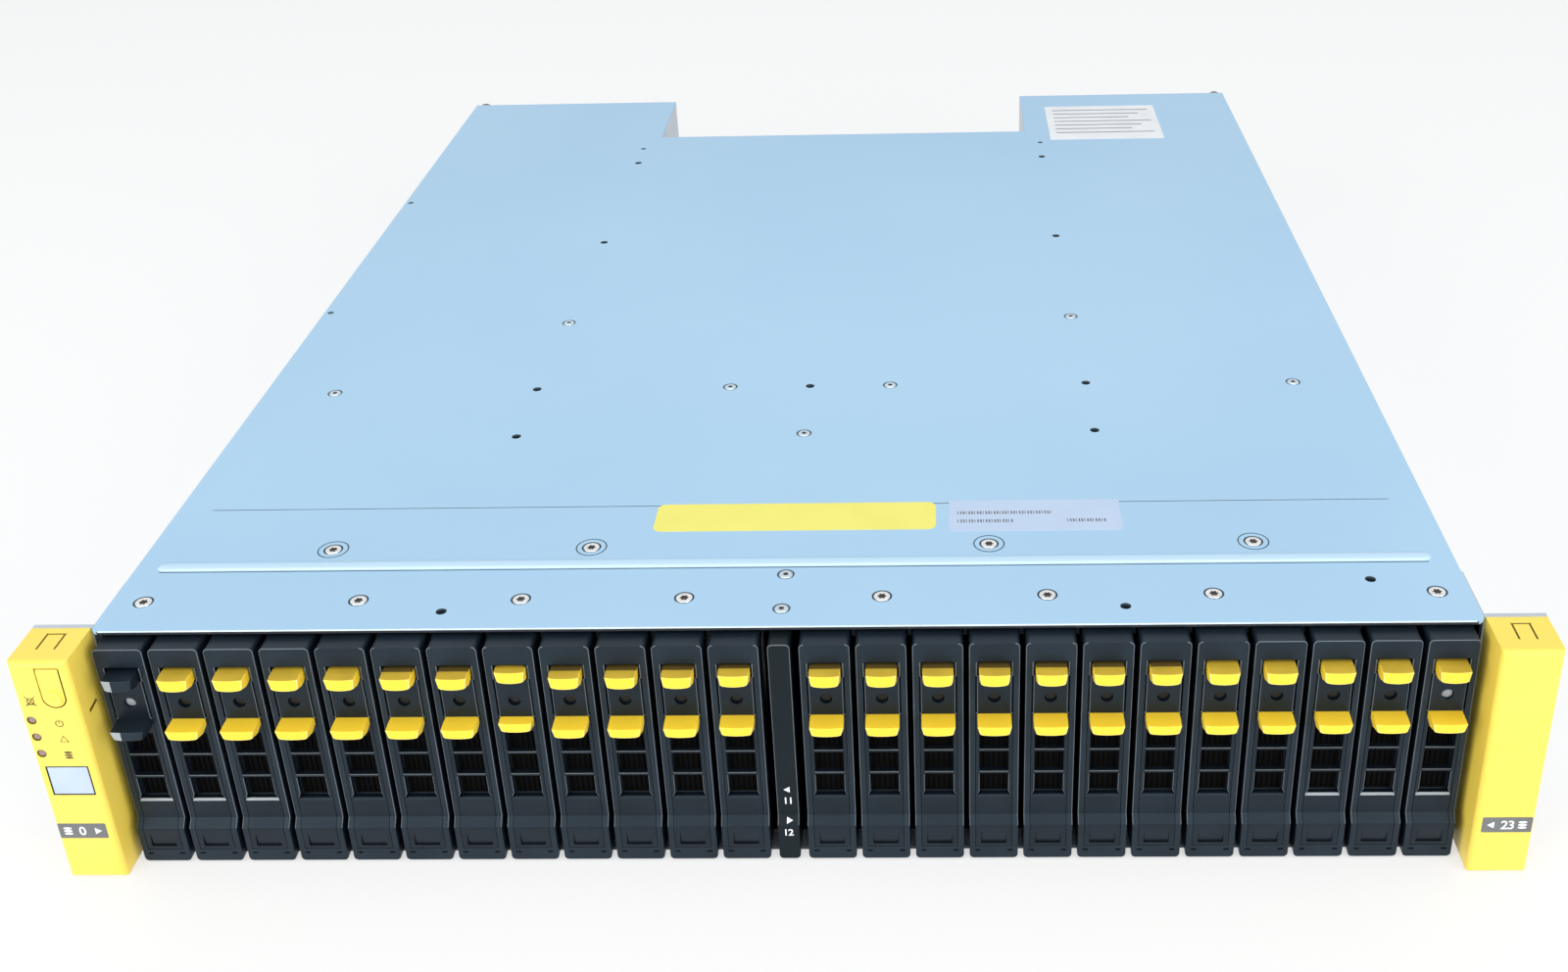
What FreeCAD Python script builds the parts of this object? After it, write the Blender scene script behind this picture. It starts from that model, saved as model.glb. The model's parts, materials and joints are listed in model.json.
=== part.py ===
import FreeCAD
import Part
import math
import os

# Disk shelf enclosure: a 19 inch, two unit steel chassis with 24 upright drive carriers in front,
# two input-output modules and two power and cooling modules behind, and a moulded cap on each ear.
# Frame: +X right, +Y to the rear, +Z up. The origin is on the underside, midway between the ears,
# in the plane of the ears' rear faces, which seat on the rack posts. Lengths are millimetres.

Vector = FreeCAD.Vector

# Body
body_width = 443.0
body_height = 87.9
body_rear = 539.0            # rear edge of the sheet body, behind the rack seat
sheet = 1.2                  # folded steel sheet
bend_radius = 1.0
fit_gap = 0.3                # play between a moving piece and what it slides in
lip_width = 14.0             # inward lip along each side wall, which carries the cover
cover_lead = 4.5             # cover's front edge ahead of the rack seat
pan_lead = 8.5               # pan's front edge ahead of the rack seat
notch_depth = 64.3           # rear recess in cover and pan, behind the input-output modules
bead_start = 35.0            # stiffening bead, behind the cover's front edge
bead_width = 7.0
bead_height = 0.6
bead_end_gap = 6.5           # from the bead's end to the body's side
cover_corner = 3.0

# Rack ears and their caps
ear_reach = 19.8             # beyond the body's side, for a span of 482.6
ear_thickness = 2.0
ear_foot = 26.0              # length of the ear's leg along the side wall
rack_hole_inset = 8.75       # from the ear's outer edge, for 465.1 between the ears
rack_hole_margin = 5.85      # from the ear's top and foot, for 76.2 between the holes
rack_hole_radius = 3.5
cap_depth = 19.0
cap_wall = 1.8
cap_side_gap = 0.5
cap_round = 2.2

# Cap furniture: indicator holes, unit display, sprung button
led_radius = 1.5
led_inset = 3.2              # hole centres from the cap's outer side
led_drop = 22.3              # first hole's centre below the body's top
led_step = 6.6
display_width = 14.0
display_height = 11.8
display_bottom = 35.3
display_inset = 2.9
display_sink = 0.9
tongue_width = 7.2
tongue_length = 14.4
tongue_thickness = 1.6
tongue_drop = 2.7            # tongue's top below the body's top
tongue_inset = 8.9           # tongue's outer edge from the cap's outer side
tongue_gap = 0.35
nub_radius = 2.7
nub_height = 0.9

# Drive bays
slots_per_half = 12
slot_gap = 1.85              # between neighbouring carriers
divider_room = 10.85         # extra room between the two halves
divider_gap = 2.8            # beside the divider strip
bay_side_gap = 2.8           # from the body's side to the outermost carrier
top_gap = 1.2                # between the cover and the carriers' fronts
foot_gap = 0.6               # carrier's foot above the ground plane

# Carrier front
face_lead = 11.0             # carrier's face ahead of the rack seat
foot_lead = 13.5             # carrier's foot ahead of the rack seat
foot_top = 14.6
foot_slope = 2.6
front_back = 2.0             # rear of the moulded front, ahead of the rack seat
front_wall = 2.0
edge_chamfer = 0.8
foot_chamfer = 1.4

# Lever and its tabs
lever_width = 11.7
lever_thickness = 2.4
lever_play = 0.15            # beside the lever
lever_gap = 0.3              # behind and above the lever
lever_drop = 7.3             # lever's top below the carrier's top
pivot_height = 6.4
pivot_radius = 1.5
window_width = 9.4
window_bottom = 25.0
window_top = 52.5
window_flare = 0.9
bar_thickness = 0.9
bar_count = 2
bar_first = 9.6              # first bar's middle above the window's foot
bar_pitch = 9.0
upper_tab_width = 9.9
upper_tab_depth = 5.6
upper_tab_height = 4.6
upper_tab_drop = 0.8         # below the lever's top
lower_tab_width = 10.9
lower_tab_depth = 7.2
lower_tab_height = 3.6
lower_tab_rise = 2.3         # above the window
tab_taper = 1.0

# Carrier body and drive
runner_height = 5.0
runner_inset = 0.3           # runner's side inside the front's side
guide_thickness = 1.4
guide_gap = 0.4
rib_height = 3.0
rib_gap = 0.5
drive_lead_in = 14.0         # drive's front behind the rack seat
drive_length = 100.2
drive_side = 0.5             # drive's side inside the carrier's side
drive_gap = 0.3
adapter_length = 22.0        # rear frame of the carrier, with its plug

# Midplane
board_gap = 9.0              # behind the carriers
board_thickness = 3.2
socket_width = 5.2
socket_height = 34.0
socket_depth = 7.0
vent_groups = 6              # air slots across the board
vent_height = 12.0

# Rear modules
module_gap = 0.6
bay_wall = 1.2
io_width = 203.0
shelf_thickness = 1.0
io_case = 1.0
power_case = 1.0
power_proud = 1.5            # power module's rear plate behind the body
handle_reach = 45.0          # handle's rear behind the body
handle_span = 56.0
handle_bar = 11.0
handle_thickness = 9.0
handle_corner = 6.0
handle_gap = 4.0             # beside the fans
fan_margin = 1.65            # above and below the fans
fan_depth = 20.0
fan_inset = 4.0              # from the module's inner side
fan_space = 1.0              # between the two fans
fan_slots = 5
grille_margin = 2.0          # from a fan's side to the ends of its slots
open_share = 0.6             # of the slots' pitch
inlet_width = 27.0
inlet_height = 20.0
inlet_wall = 1.6
inlet_depth = 17.0
inlet_proud = 1.5
inlet_inset = 10.0           # from the module's outer side
inlet_drop = 12.0            # below the module's top
switch_gap = 5.0             # below the inlet
switch_height = 13.0
switch_proud = 3.0
plug_reach = 14.0            # inside a module's open front
power_plug_width = 40.0
power_plug_height = 24.0
io_plug_width = 60.0
io_plug_height = 17.0
circuit_thickness = 1.6
circuit_inset = 6.0          # inside the module's open front and sides
port_count = 3
port_first = 10.0            # first port, right of the module's middle
port_rise = 10.0             # above the module's floor
port_width = 17.0
port_height = 9.5
port_wall = 0.8
port_depth = 18.0
port_step = 24.0
port_proud = 1.0
vent_slots = 8
vent_first = -76.0
vent_step = 8.0
vent_slot_width = 4.0
vent_margin = 9.0            # above and below the slots
cam_width = 12.0             # ejector levers at the module's rear corners
cam_inset = 3.0
cam_reach = 22.0
cam_rise = 8.0
cam_thickness = 4.0

# Cover screws
screw_head_radius = 4.3
screw_head_height = 0.5
screw_flats = 12
front_screw_row = 17.0       # behind the cover's front edge
second_screw_row = 48.2
front_screw_slots = (0, 4, 7, 10)
second_screw_slots = (3, 8)

half_width = body_width / 2
half_ears = half_width + ear_reach
cover_under = body_height - sheet
inner_half = half_width - sheet
bay_half = half_width - bay_side_gap
slot_pitch = (bay_half * 2 - divider_room + slot_gap) / (2 * slots_per_half)
carrier_width = slot_pitch - slot_gap
slot_count = 2 * slots_per_half

front_top = cover_under - top_gap
lever_top = front_top - lever_drop
upper_tab_top = lever_top - upper_tab_drop
lower_tab_top = window_top + lower_tab_rise + lower_tab_height
guide_under = front_top - guide_thickness
guide_over = sheet + guide_thickness
runner_low = guide_over + guide_gap
runner_high = guide_under - guide_gap
drive_low = runner_low + runner_height
drive_high = runner_high - runner_height - drive_gap
carrier_end = drive_lead_in + drive_length + adapter_length
board_front = carrier_end + board_gap
board_rear = board_front + board_thickness

notch_front = body_rear - notch_depth
module_front = board_rear + socket_depth + module_gap
io_half = io_width / 2
bay_inner = io_half + module_gap
power_inner = bay_inner + bay_wall + module_gap
power_outer = half_width - lip_width - module_gap
channel_inner = power_outer + module_gap
shelf_low = (sheet + cover_under - shelf_thickness) / 2
io_height = shelf_low - sheet - 2 * module_gap
power_low = sheet + module_gap
power_high = cover_under - module_gap
power_rear = body_rear + power_proud
io_rear = notch_front + power_proud
fan_size = (power_high - power_low - fan_space) / 2 - fan_margin

pivot_lead = foot_lead - pivot_radius
cap_front = ear_thickness + cap_depth
cap_inner = half_width + cap_side_gap
tongue_top = body_height - tongue_drop


def block(x0, x1, y0, y1, z0, z1):
    return Part.makeBox(x1 - x0, y1 - y0, z1 - z0, Vector(x0, y0, z0))


def prism(points, along):
    """A straight prism from a closed outline of points, swept by the vector along."""
    wire = Part.makePolygon(list(points) + [points[0]])
    return Part.Face(wire).extrude(along)


def side_prism(outline, x0, x1):
    return prism([Vector(x0, y, z) for y, z in outline], Vector(x1 - x0, 0, 0))


def front_prism(outline, y0, y1):
    return prism([Vector(x, y0, z) for x, z in outline], Vector(0, y1 - y0, 0))


def plan_prism(outline, z0, z1):
    return prism([Vector(x, y, z0) for x, y in outline], Vector(0, 0, z1 - z0))


def rod(radius, start, along):
    return Part.makeCylinder(radius, along.Length, start, along)


def mirrored(shape):
    return shape.mirror(Vector(0, 0, 0), Vector(1, 0, 0))


def moved(shape, x, y, z):
    return shape.translated(Vector(x, y, z))


def straight_edges(shape, direction, keep):
    """The straight edges along a direction whose midpoint passes the test keep."""
    found = []
    for edge in shape.Edges:
        if edge.Curve.TypeId != "Part::GeomLine":
            continue
        run = edge.Vertexes[-1].Point - edge.Vertexes[0].Point
        if run.normalize().cross(direction).Length < 1e-6 and keep(edge.CenterOfMass):
            found.append(edge)
    return found


def save(name, solids):
    shape = solids[0] if len(solids) == 1 else Part.makeCompound(solids)
    shape.exportStep(os.path.join("parts", name + ".step"))


def slot_centre(slot):
    side = -1 if slot < slots_per_half else 1
    return (slot - slots_per_half + 0.5) * slot_pitch + side * divider_room / 2


# Chassis

def tray():
    """Pan, side walls and cover lips, folded from one sheet, with the rear recess cut out."""
    top = cover_under
    outline = [
        (-half_width, 0), (half_width, 0), (half_width, top), (half_width - lip_width, top),
        (half_width - lip_width, top - sheet), (inner_half, top - sheet), (inner_half, sheet),
        (-inner_half, sheet), (-inner_half, top - sheet), (lip_width - half_width, top - sheet),
        (lip_width - half_width, top), (-half_width, top),
    ]
    folded = front_prism(outline, 0, body_rear)
    bends = straight_edges(folded, Vector(0, 1, 0), lambda p: p.z < 1e-6)
    folded = folded.makeFillet(bend_radius, bends)
    pan_front = block(-bay_half, bay_half, -pan_lead, 0, 0, sheet)
    recess = block(-bay_inner, bay_inner, notch_front, body_rear + 1, -1, sheet + 1)
    return folded.fuse(pan_front).cut(recess).removeSplitter()


def ear():
    """Right rack ear: a plate across the front of the wall and a leg welded along it."""
    plate = block(half_width, half_ears, -ear_thickness, 0, 0, body_height)
    leg = block(half_width, half_width + sheet, 0, ear_foot, sheet, cover_under)
    plate = plate.fuse(leg)
    for z in (rack_hole_margin, body_height - rack_hole_margin):
        start = Vector(half_ears - rack_hole_inset, -ear_thickness - 1, z)
        plate = plate.cut(rod(rack_hole_radius, start, Vector(0, ear_thickness + 2, 0)))
    return plate.removeSplitter()


def bay_partition():
    """Right wall between the input-output bay and a power bay."""
    return block(bay_inner, bay_inner + bay_wall, board_rear, body_rear, sheet, cover_under)


def side_channel():
    """Right stiffening channel that narrows the power bay to its module."""
    outline = [
        (channel_inner, sheet), (inner_half, sheet), (inner_half, sheet + bay_wall),
        (channel_inner + bay_wall, sheet + bay_wall),
        (channel_inner + bay_wall, cover_under - sheet - bay_wall),
        (inner_half, cover_under - sheet - bay_wall), (inner_half, cover_under - sheet),
        (channel_inner, cover_under - sheet),
    ]
    return front_prism(outline, board_rear, body_rear)


def io_shelf():
    return block(-bay_inner, bay_inner, board_rear, notch_front, shelf_low, shelf_low + shelf_thickness)


def chassis():
    right = [ear(), bay_partition(), side_channel()]
    return [tray()] + right + [mirrored(solid) for solid in right] + [io_shelf()]


# Cover

def screw_places():
    """Centres of the cover screws, in plan."""
    places = []
    for slots, row in ((front_screw_slots, front_screw_row), (second_screw_slots, second_screw_row)):
        for slot in slots:
            x = slot_centre(slot)
            places += [(x, row - cover_lead), (-x, row - cover_lead)]
    return places


def screw(x, y):
    """A low round screw head, drawn with flats, that seats on the cover."""
    outline = []
    for flat in range(screw_flats):
        turn = 2 * math.pi * flat / screw_flats
        outline.append((x + screw_head_radius * math.cos(turn), y + screw_head_radius * math.sin(turn)))
    return plan_prism(outline, body_height, body_height + screw_head_height)


def cover():
    """Flat cover with a pressed bead across its front, and the recess over the rear modules."""
    plate = block(-half_width, half_width, -cover_lead, body_rear, cover_under, body_height)
    corners = straight_edges(plate, Vector(0, 0, 1), lambda p: p.y < 0)
    plate = plate.makeFillet(cover_corner, corners)
    recess = block(-bay_inner, bay_inner, notch_front, body_rear + 1, 0, body_height + 1)
    plate = plate.cut(recess)
    foot = bead_start - cover_lead
    bead = side_prism(
        [(foot, body_height), (foot + bead_width / 3, body_height + bead_height),
         (foot + bead_width * 2 / 3, body_height + bead_height), (foot + bead_width, body_height)],
        bead_end_gap - half_width, half_width - bead_end_gap)
    return plate.fuse(bead).removeSplitter()


# End caps

def cap_shell(extra_cuts):
    """Right cap: a hollow moulded cover over the ear, open behind, with rounded front edges."""
    outer = block(cap_inner, half_ears, -cap_front, -ear_thickness, 0, body_height)
    front = [e for e in outer.Edges if abs(e.CenterOfMass.y + cap_front) < 1e-6]
    outer = outer.makeFillet(cap_round, front)
    inside = block(
        cap_inner + cap_wall, half_ears - cap_wall, cap_wall - cap_front, 1 - ear_thickness,
        cap_wall, body_height - cap_wall)
    shell = outer.cut(inside)
    for cut in extra_cuts:
        shell = shell.cut(cut)
    return shell


def tongue_outline(grow):
    """Outline of the button's tongue in the front plane, grown by a gap: straight top, round foot."""
    left = half_ears - tongue_inset - tongue_width - grow
    right = half_ears - tongue_inset + grow
    radius = (right - left) / 2
    foot = tongue_top - tongue_length + tongue_width / 2
    top = tongue_top + grow
    centre = (left + right) / 2
    corner = Part.LineSegment(Vector(left, 0, foot), Vector(left, 0, top)).toShape()
    across = Part.LineSegment(Vector(left, 0, top), Vector(right, 0, top)).toShape()
    down = Part.LineSegment(Vector(right, 0, top), Vector(right, 0, foot)).toShape()
    arc = Part.Arc(Vector(right, 0, foot), Vector(centre, 0, foot - radius), Vector(left, 0, foot))
    return Part.Face(Part.Wire([corner, across, down, arc.toShape()]))


def button():
    """Sprung button: a tongue hung from its round top edge, with a nub near its foot."""
    tongue = tongue_outline(0).extrude(Vector(0, tongue_thickness, 0))
    tongue = moved(tongue, 0, -cap_front, 0)
    left = half_ears - tongue_inset - tongue_width
    half = tongue_thickness / 2
    roll = rod(half, Vector(left, half - cap_front, tongue_top - half), Vector(tongue_width, 0, 0))
    above = block(left - 1, left + tongue_width + 1, -cap_front - 1, 0, tongue_top - half, tongue_top + 1)
    tongue = tongue.cut(above).fuse(roll)
    x = half_ears - tongue_inset - tongue_width / 2
    z = tongue_top - tongue_length + tongue_width / 2
    nub = rod(nub_radius, Vector(x, -cap_front, z), Vector(0, -nub_height, 0))
    return mirrored(tongue.fuse(nub).removeSplitter())


def left_cap():
    """Left cap, with the button's opening, three indicator holes and the sunk display."""
    cuts = [moved(tongue_outline(tongue_gap).extrude(Vector(0, cap_wall + 2, 0)), 0, -cap_front - 1, 0)]
    for step in range(3):
        z = body_height - led_drop - step * led_step
        start = Vector(half_ears - led_inset, -cap_front - 1, z)
        cuts.append(rod(led_radius, start, Vector(0, cap_wall + 2, 0)))
    right = half_ears - display_inset
    cuts.append(block(
        right - display_width, right, -cap_front - 1, display_sink - cap_front,
        display_bottom, display_bottom + display_height))
    return mirrored(cap_shell(cuts))


# Drive cage

def guide_ribs(low, high):
    """Ribs between the carriers' runners, in each half."""
    ribs = []
    thick = slot_gap + 2 * runner_inset - 2 * rib_gap
    for slot in range(slot_count - 1):
        if slot == slots_per_half - 1:
            continue
        x = (slot_centre(slot) + slot_centre(slot + 1)) / 2
        ribs.append(block(x - thick / 2, x + thick / 2, 0, board_front, low, high))
    return ribs


def lower_guide():
    plate = block(-inner_half, inner_half, 0, board_rear, sheet, guide_over)
    return plate.fuse(guide_ribs(guide_over, guide_over + rib_height)).removeSplitter()


def upper_guide():
    half = half_width - lip_width - fit_gap
    plate = block(-half, half, 0, board_rear, guide_under, cover_under)
    return plate.fuse(guide_ribs(guide_under - rib_height, guide_under)).removeSplitter()


def front_outline(back):
    """Side outline of a bay front: upright face, sloped step, thicker foot with broken edges."""
    return [
        (-back, front_top), (edge_chamfer - face_lead, front_top), (-face_lead, front_top - edge_chamfer),
        (-face_lead, foot_top + foot_slope), (-foot_lead, foot_top), (-foot_lead, foot_gap + edge_chamfer),
        (edge_chamfer - foot_lead, foot_gap), (-pan_lead - fit_gap, foot_gap),
        (-pan_lead - fit_gap, guide_over), (-back, guide_over),
    ]


def divider():
    """Strip between the two halves, with a hollow wall behind it back to the midplane."""
    half = (slot_gap + divider_room) / 2 - divider_gap
    strip = side_prism(front_outline(0), -half, half)
    wall = block(-half / 2, half / 2, 0, board_front, guide_over, guide_under)
    return strip.fuse(wall).removeSplitter()


# Carriers

def lever_plate():
    """The lever's plate from its side outline: upright plate, step, foot and round pivot end."""
    half = lever_width / 2
    behind = lever_thickness - face_lead
    low_behind = pivot_radius - pivot_lead
    corners = [Vector(-half, y, z) for y, z in (
        (-foot_lead, pivot_height), (-foot_lead, foot_top), (-face_lead, foot_top + foot_slope),
        (-face_lead, lever_top), (behind, lever_top), (behind, foot_top + foot_slope),
        (low_behind, foot_top), (low_behind, pivot_height))]
    edges = [Part.LineSegment(a, b).toShape() for a, b in zip(corners, corners[1:])]
    foot = Vector(-half, -pivot_lead, pivot_height - pivot_radius)
    edges.append(Part.Arc(corners[-1], foot, corners[0]).toShape())
    return Part.Face(Part.Wire(edges)).extrude(Vector(lever_width, 0, 0))


def lever_pocket():
    """The room cut in the carrier's front for the lever, with a trough round the pivot."""
    half = lever_width / 2 + lever_play
    ahead = -foot_lead - 1
    behind = lever_thickness - face_lead + lever_gap
    reach = pivot_radius + lever_gap
    low_behind = reach - pivot_lead
    corner = reach * math.tan(math.pi / 8)
    lip = pivot_height - math.sqrt(reach ** 2 - pivot_radius ** 2)
    outline = [
        (ahead, lip), (-foot_lead, lip), (-pivot_lead - corner, pivot_height - reach),
        (-pivot_lead + corner, pivot_height - reach), (low_behind, pivot_height - corner),
        (low_behind, foot_top + lever_gap / 2), (behind, foot_top + foot_slope + lever_gap / 2),
        (behind, lever_top + lever_gap), (ahead, lever_top + lever_gap),
    ]
    return side_prism(outline, -half, half)


def window(low, high, half):
    """One opening through the front, with its lower corners flared when it is the lowest."""
    flare = window_flare if low == window_bottom else 0
    outline = [(-half, high), (half, high), (half, low + 2 * flare), (half + flare, low),
               (-half - flare, low), (-half, low + 2 * flare)]
    if not flare:
        outline = [(-half, high), (half, high), (half, low), (-half, low)]
    return front_prism(outline, -foot_lead - 1, 0)


def tab(width, depth, top, height):
    """A finger tab that narrows towards its broken front corners."""
    half = width / 2
    front = half - tab_taper
    outline = [(-half, 0), (-front, tab_taper - depth), (tab_taper - front, -depth),
               (front - tab_taper, -depth), (front, tab_taper - depth), (half, 0)]
    return moved(plan_prism(outline, top - height, top), 0, -face_lead, 0)


def lever():
    """Latching lever: one plate with a barred window, and two yellow finger tabs."""
    plate = lever_plate()
    low = window_bottom
    for k in range(bar_count):
        bar = window_bottom + bar_first + k * bar_pitch
        plate = plate.cut(window(low, bar - bar_thickness / 2, window_width / 2))
        low = bar + bar_thickness / 2
    plate = plate.cut(window(low, window_top, window_width / 2))
    upper = tab(upper_tab_width, upper_tab_depth, upper_tab_top, upper_tab_height)
    lower = tab(lower_tab_width, lower_tab_depth, lower_tab_top, lower_tab_height)
    return [plate, upper, lower]


def carrier_frame():
    """Moulded front with the lever's pocket, and the two runners that hold the drive."""
    half = carrier_width / 2
    front = side_prism(front_outline(front_back), -half, half)
    corners = straight_edges(front, Vector(0, 1, 0), lambda p: p.z < foot_gap + 1e-6)
    front = front.makeChamfer(foot_chamfer, corners)
    front = front.cut(lever_pocket())
    behind = lever_thickness + lever_gap + front_wall - face_lead
    cavity = block(-half + front_wall, half - front_wall, behind, 0, drive_low, drive_high)
    front = front.cut(cavity)
    opening = block(-window_width / 2, window_width / 2, -face_lead, 0, window_bottom, window_top)
    front = front.cut(opening)
    side = half - runner_inset
    runners = [
        block(-side, side, -front_back, carrier_end, runner_low, drive_low),
        block(-side, side, -front_back, carrier_end, runner_high - runner_height, runner_high),
        block(-side, side, carrier_end - adapter_length + drive_gap, carrier_end, drive_low,
              runner_high - runner_height),
    ]
    return front.fuse(runners).removeSplitter()


def drive():
    side = carrier_width / 2 - drive_side
    return block(-side, side, drive_lead_in, drive_lead_in + drive_length, drive_low, drive_high)


# Midplane

def midplane():
    """Circuit board across the chassis, with a socket for each carrier and air slots."""
    board = block(-inner_half + fit_gap, inner_half - fit_gap, board_front, board_rear,
                  guide_over, guide_under)
    sockets = []
    middle = (drive_low + drive_high) / 2
    vent_low = middle + socket_height / 2 + (drive_high - middle - socket_height / 2 - vent_height) / 2
    per_group = slot_count // vent_groups
    for group in range(vent_groups):
        x0 = slot_centre(group * per_group) - socket_width
        x1 = slot_centre(group * per_group + per_group - 1) + socket_width
        vent = block(x0, x1, board_front - 1, board_rear + 1, vent_low, vent_low + vent_height)
        board = board.cut(vent)
    for slot in range(slot_count):
        x = slot_centre(slot)
        sockets.append(block(x - socket_width / 2, x + socket_width / 2, board_front - socket_depth,
                             board_front, middle - socket_height / 2, middle + socket_height / 2))
    return [board] + sockets


# Power and cooling module

def fan_slot_cuts(x, z, y):
    """Level slots whose ends follow a circle: the stamped grille in front of a fan."""
    cuts = []
    radius = fan_size / 2 - grille_margin
    pitch = 2 * radius / fan_slots
    tall = pitch * open_share / 2
    for k in range(fan_slots):
        rise = (k - (fan_slots - 1) / 2) * pitch
        reach = math.sqrt(radius ** 2 - rise ** 2)
        cuts.append(block(x - reach, x + reach, y - 2 * power_case, y + 1, z + rise - tall, z + rise + tall))
    return cuts


def sheet_case(x0, x1, rear, z0, z1, wall):
    """A module's sheet case, open in front."""
    case = block(x0, x1, module_front, rear, z0, z1)
    return case.cut(block(x0 + wall, x1 - wall, module_front - 1, rear - wall, z0 + wall, z1 - wall))


def inlet_socket(x, z):
    """Mains inlet: a moulded cup open to the rear. Gives the cup and the block it fills."""
    half, tall = inlet_width / 2, inlet_height / 2
    front, rear = power_rear - inlet_depth, power_rear + inlet_proud
    filled = block(x - half, x + half, front, rear, z - tall, z + tall)
    cavity = block(x - half + inlet_wall, x + half - inlet_wall, front + inlet_wall, rear + 1,
                   z - tall + inlet_wall, z + tall - inlet_wall)
    return filled.cut(cavity), filled


def bow_handle(x, middle):
    """Bow handle that stands behind the module, with its corners broken."""
    reach = body_rear + handle_reach
    low, high = middle - handle_span / 2, middle + handle_span / 2
    inner = reach - handle_thickness
    inner_low, inner_high = low + handle_thickness, high - handle_thickness
    corner, small = handle_corner, handle_corner / 3
    outline = [
        (power_rear, low), (reach - corner, low), (reach, low + corner), (reach, high - corner),
        (reach - corner, high), (power_rear, high), (power_rear, inner_high),
        (inner - small, inner_high), (inner, inner_high - small), (inner, inner_low + small),
        (inner - small, inner_low), (power_rear, inner_low),
    ]
    return side_prism(outline, x, x + handle_bar)


def power_module():
    """Right module: sheet case, two fans behind grilles, mains inlet, switch, handle and plug."""
    case = sheet_case(power_inner, power_outer, power_rear, power_low, power_high, power_case)
    middle = (power_low + power_high) / 2
    fan_left = power_inner + fan_inset
    fan_right = fan_left + fan_size
    fan_back = power_rear - power_case
    fans = []
    for side in (-1, 1):
        z = middle + side * (fan_size + fan_space) / 2
        for cut in fan_slot_cuts((fan_left + fan_right) / 2, z, power_rear):
            case = case.cut(cut)
        fans.append(block(fan_left, fan_right, fan_back - fan_depth, fan_back,
                          z - fan_size / 2, z + fan_size / 2))
    inlet_x = power_outer - inlet_inset - inlet_width / 2
    inlet_z = power_high - inlet_drop - inlet_height / 2
    socket, filled = inlet_socket(inlet_x, inlet_z)
    case = case.cut(filled)
    switch_top = inlet_z - inlet_height / 2 - switch_gap
    switch = block(inlet_x - inlet_width / 2, inlet_x + inlet_width / 2, power_rear,
                   power_rear + switch_proud, switch_top - switch_height, switch_top)
    handle = bow_handle(fan_right + handle_gap, middle)
    centre = (power_inner + power_outer) / 2
    floor = power_low + power_case
    plug = block(centre - power_plug_width / 2, centre + power_plug_width / 2, board_rear + module_gap,
                 module_front + plug_reach, floor, floor + power_plug_height)
    return [case] + fans + [socket, switch, handle, plug]


# Input-output module

def io_module(floor):
    """One module: sheet case, port cages, ejector levers, circuit board and midplane plug."""
    top = floor + io_height
    case = sheet_case(-io_half, io_half, io_rear, floor, top, io_case)
    bottom = floor + port_rise
    ports = []
    for k in range(port_count):
        x0 = port_first + k * port_step - port_width / 2
        x1 = x0 + port_width
        cage = block(x0 - port_wall, x1 + port_wall, io_rear - port_depth, io_rear + port_proud,
                     bottom - port_wall, bottom + port_height + port_wall)
        case = case.cut(cage)
        mouth = block(x0, x1, io_rear - port_depth + port_wall, io_rear + port_proud + 1,
                      bottom, bottom + port_height)
        ports.append(cage.cut(mouth))
    for k in range(vent_slots):
        x = vent_first + k * vent_step
        case = case.cut(block(x - vent_slot_width / 2, x + vent_slot_width / 2, io_rear - 2 * io_case,
                              io_rear + 1, floor + vent_margin, top - vent_margin))
    outer = io_half - cam_inset
    cam = block(outer - cam_width, outer, io_rear, io_rear + cam_reach,
                floor + cam_rise, floor + cam_rise + cam_thickness)
    circuit_low = floor + io_case
    circuit_top = circuit_low + circuit_thickness
    circuit = block(circuit_inset - io_half, io_half - circuit_inset, module_front + circuit_inset,
                    io_rear - port_depth - circuit_inset, circuit_low, circuit_top)
    plug = block(-io_plug_width / 2, io_plug_width / 2, board_rear + module_gap,
                 module_front + plug_reach, circuit_top, circuit_top + io_plug_height)
    return [case] + ports + [cam, mirrored(cam), circuit, plug]


def build():
    os.makedirs("parts", exist_ok=True)
    save("chassis_tray", chassis())
    save("top_cover", [cover()])
    save("cover_screws", [screw(x, y) for x, y in screw_places()])
    save("drive_cage", [lower_guide(), upper_guide(), divider()])
    save("midplane_board", midplane())
    save("end_cap_left", [left_cap()])
    save("end_cap_right", [cap_shell([])])
    save("mute_button", [button()])
    module = power_module()
    save("power_module_right", module)
    save("power_module_left", [mirrored(solid) for solid in module])
    save("io_module_lower", io_module(sheet + module_gap))
    save("io_module_upper", io_module(shelf_low + shelf_thickness + module_gap))
    carrier = [carrier_frame(), drive()]
    arm = lever()
    for slot in range(slot_count):
        x = slot_centre(slot)
        save("carrier_%02d" % slot, [moved(solid, x, 0, 0) for solid in carrier])
        save("lever_%02d" % slot, [moved(solid, x, 0, 0) for solid in arm])


build()
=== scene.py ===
import bpy
import json
import math
from mathutils import Matrix, Vector

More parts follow.
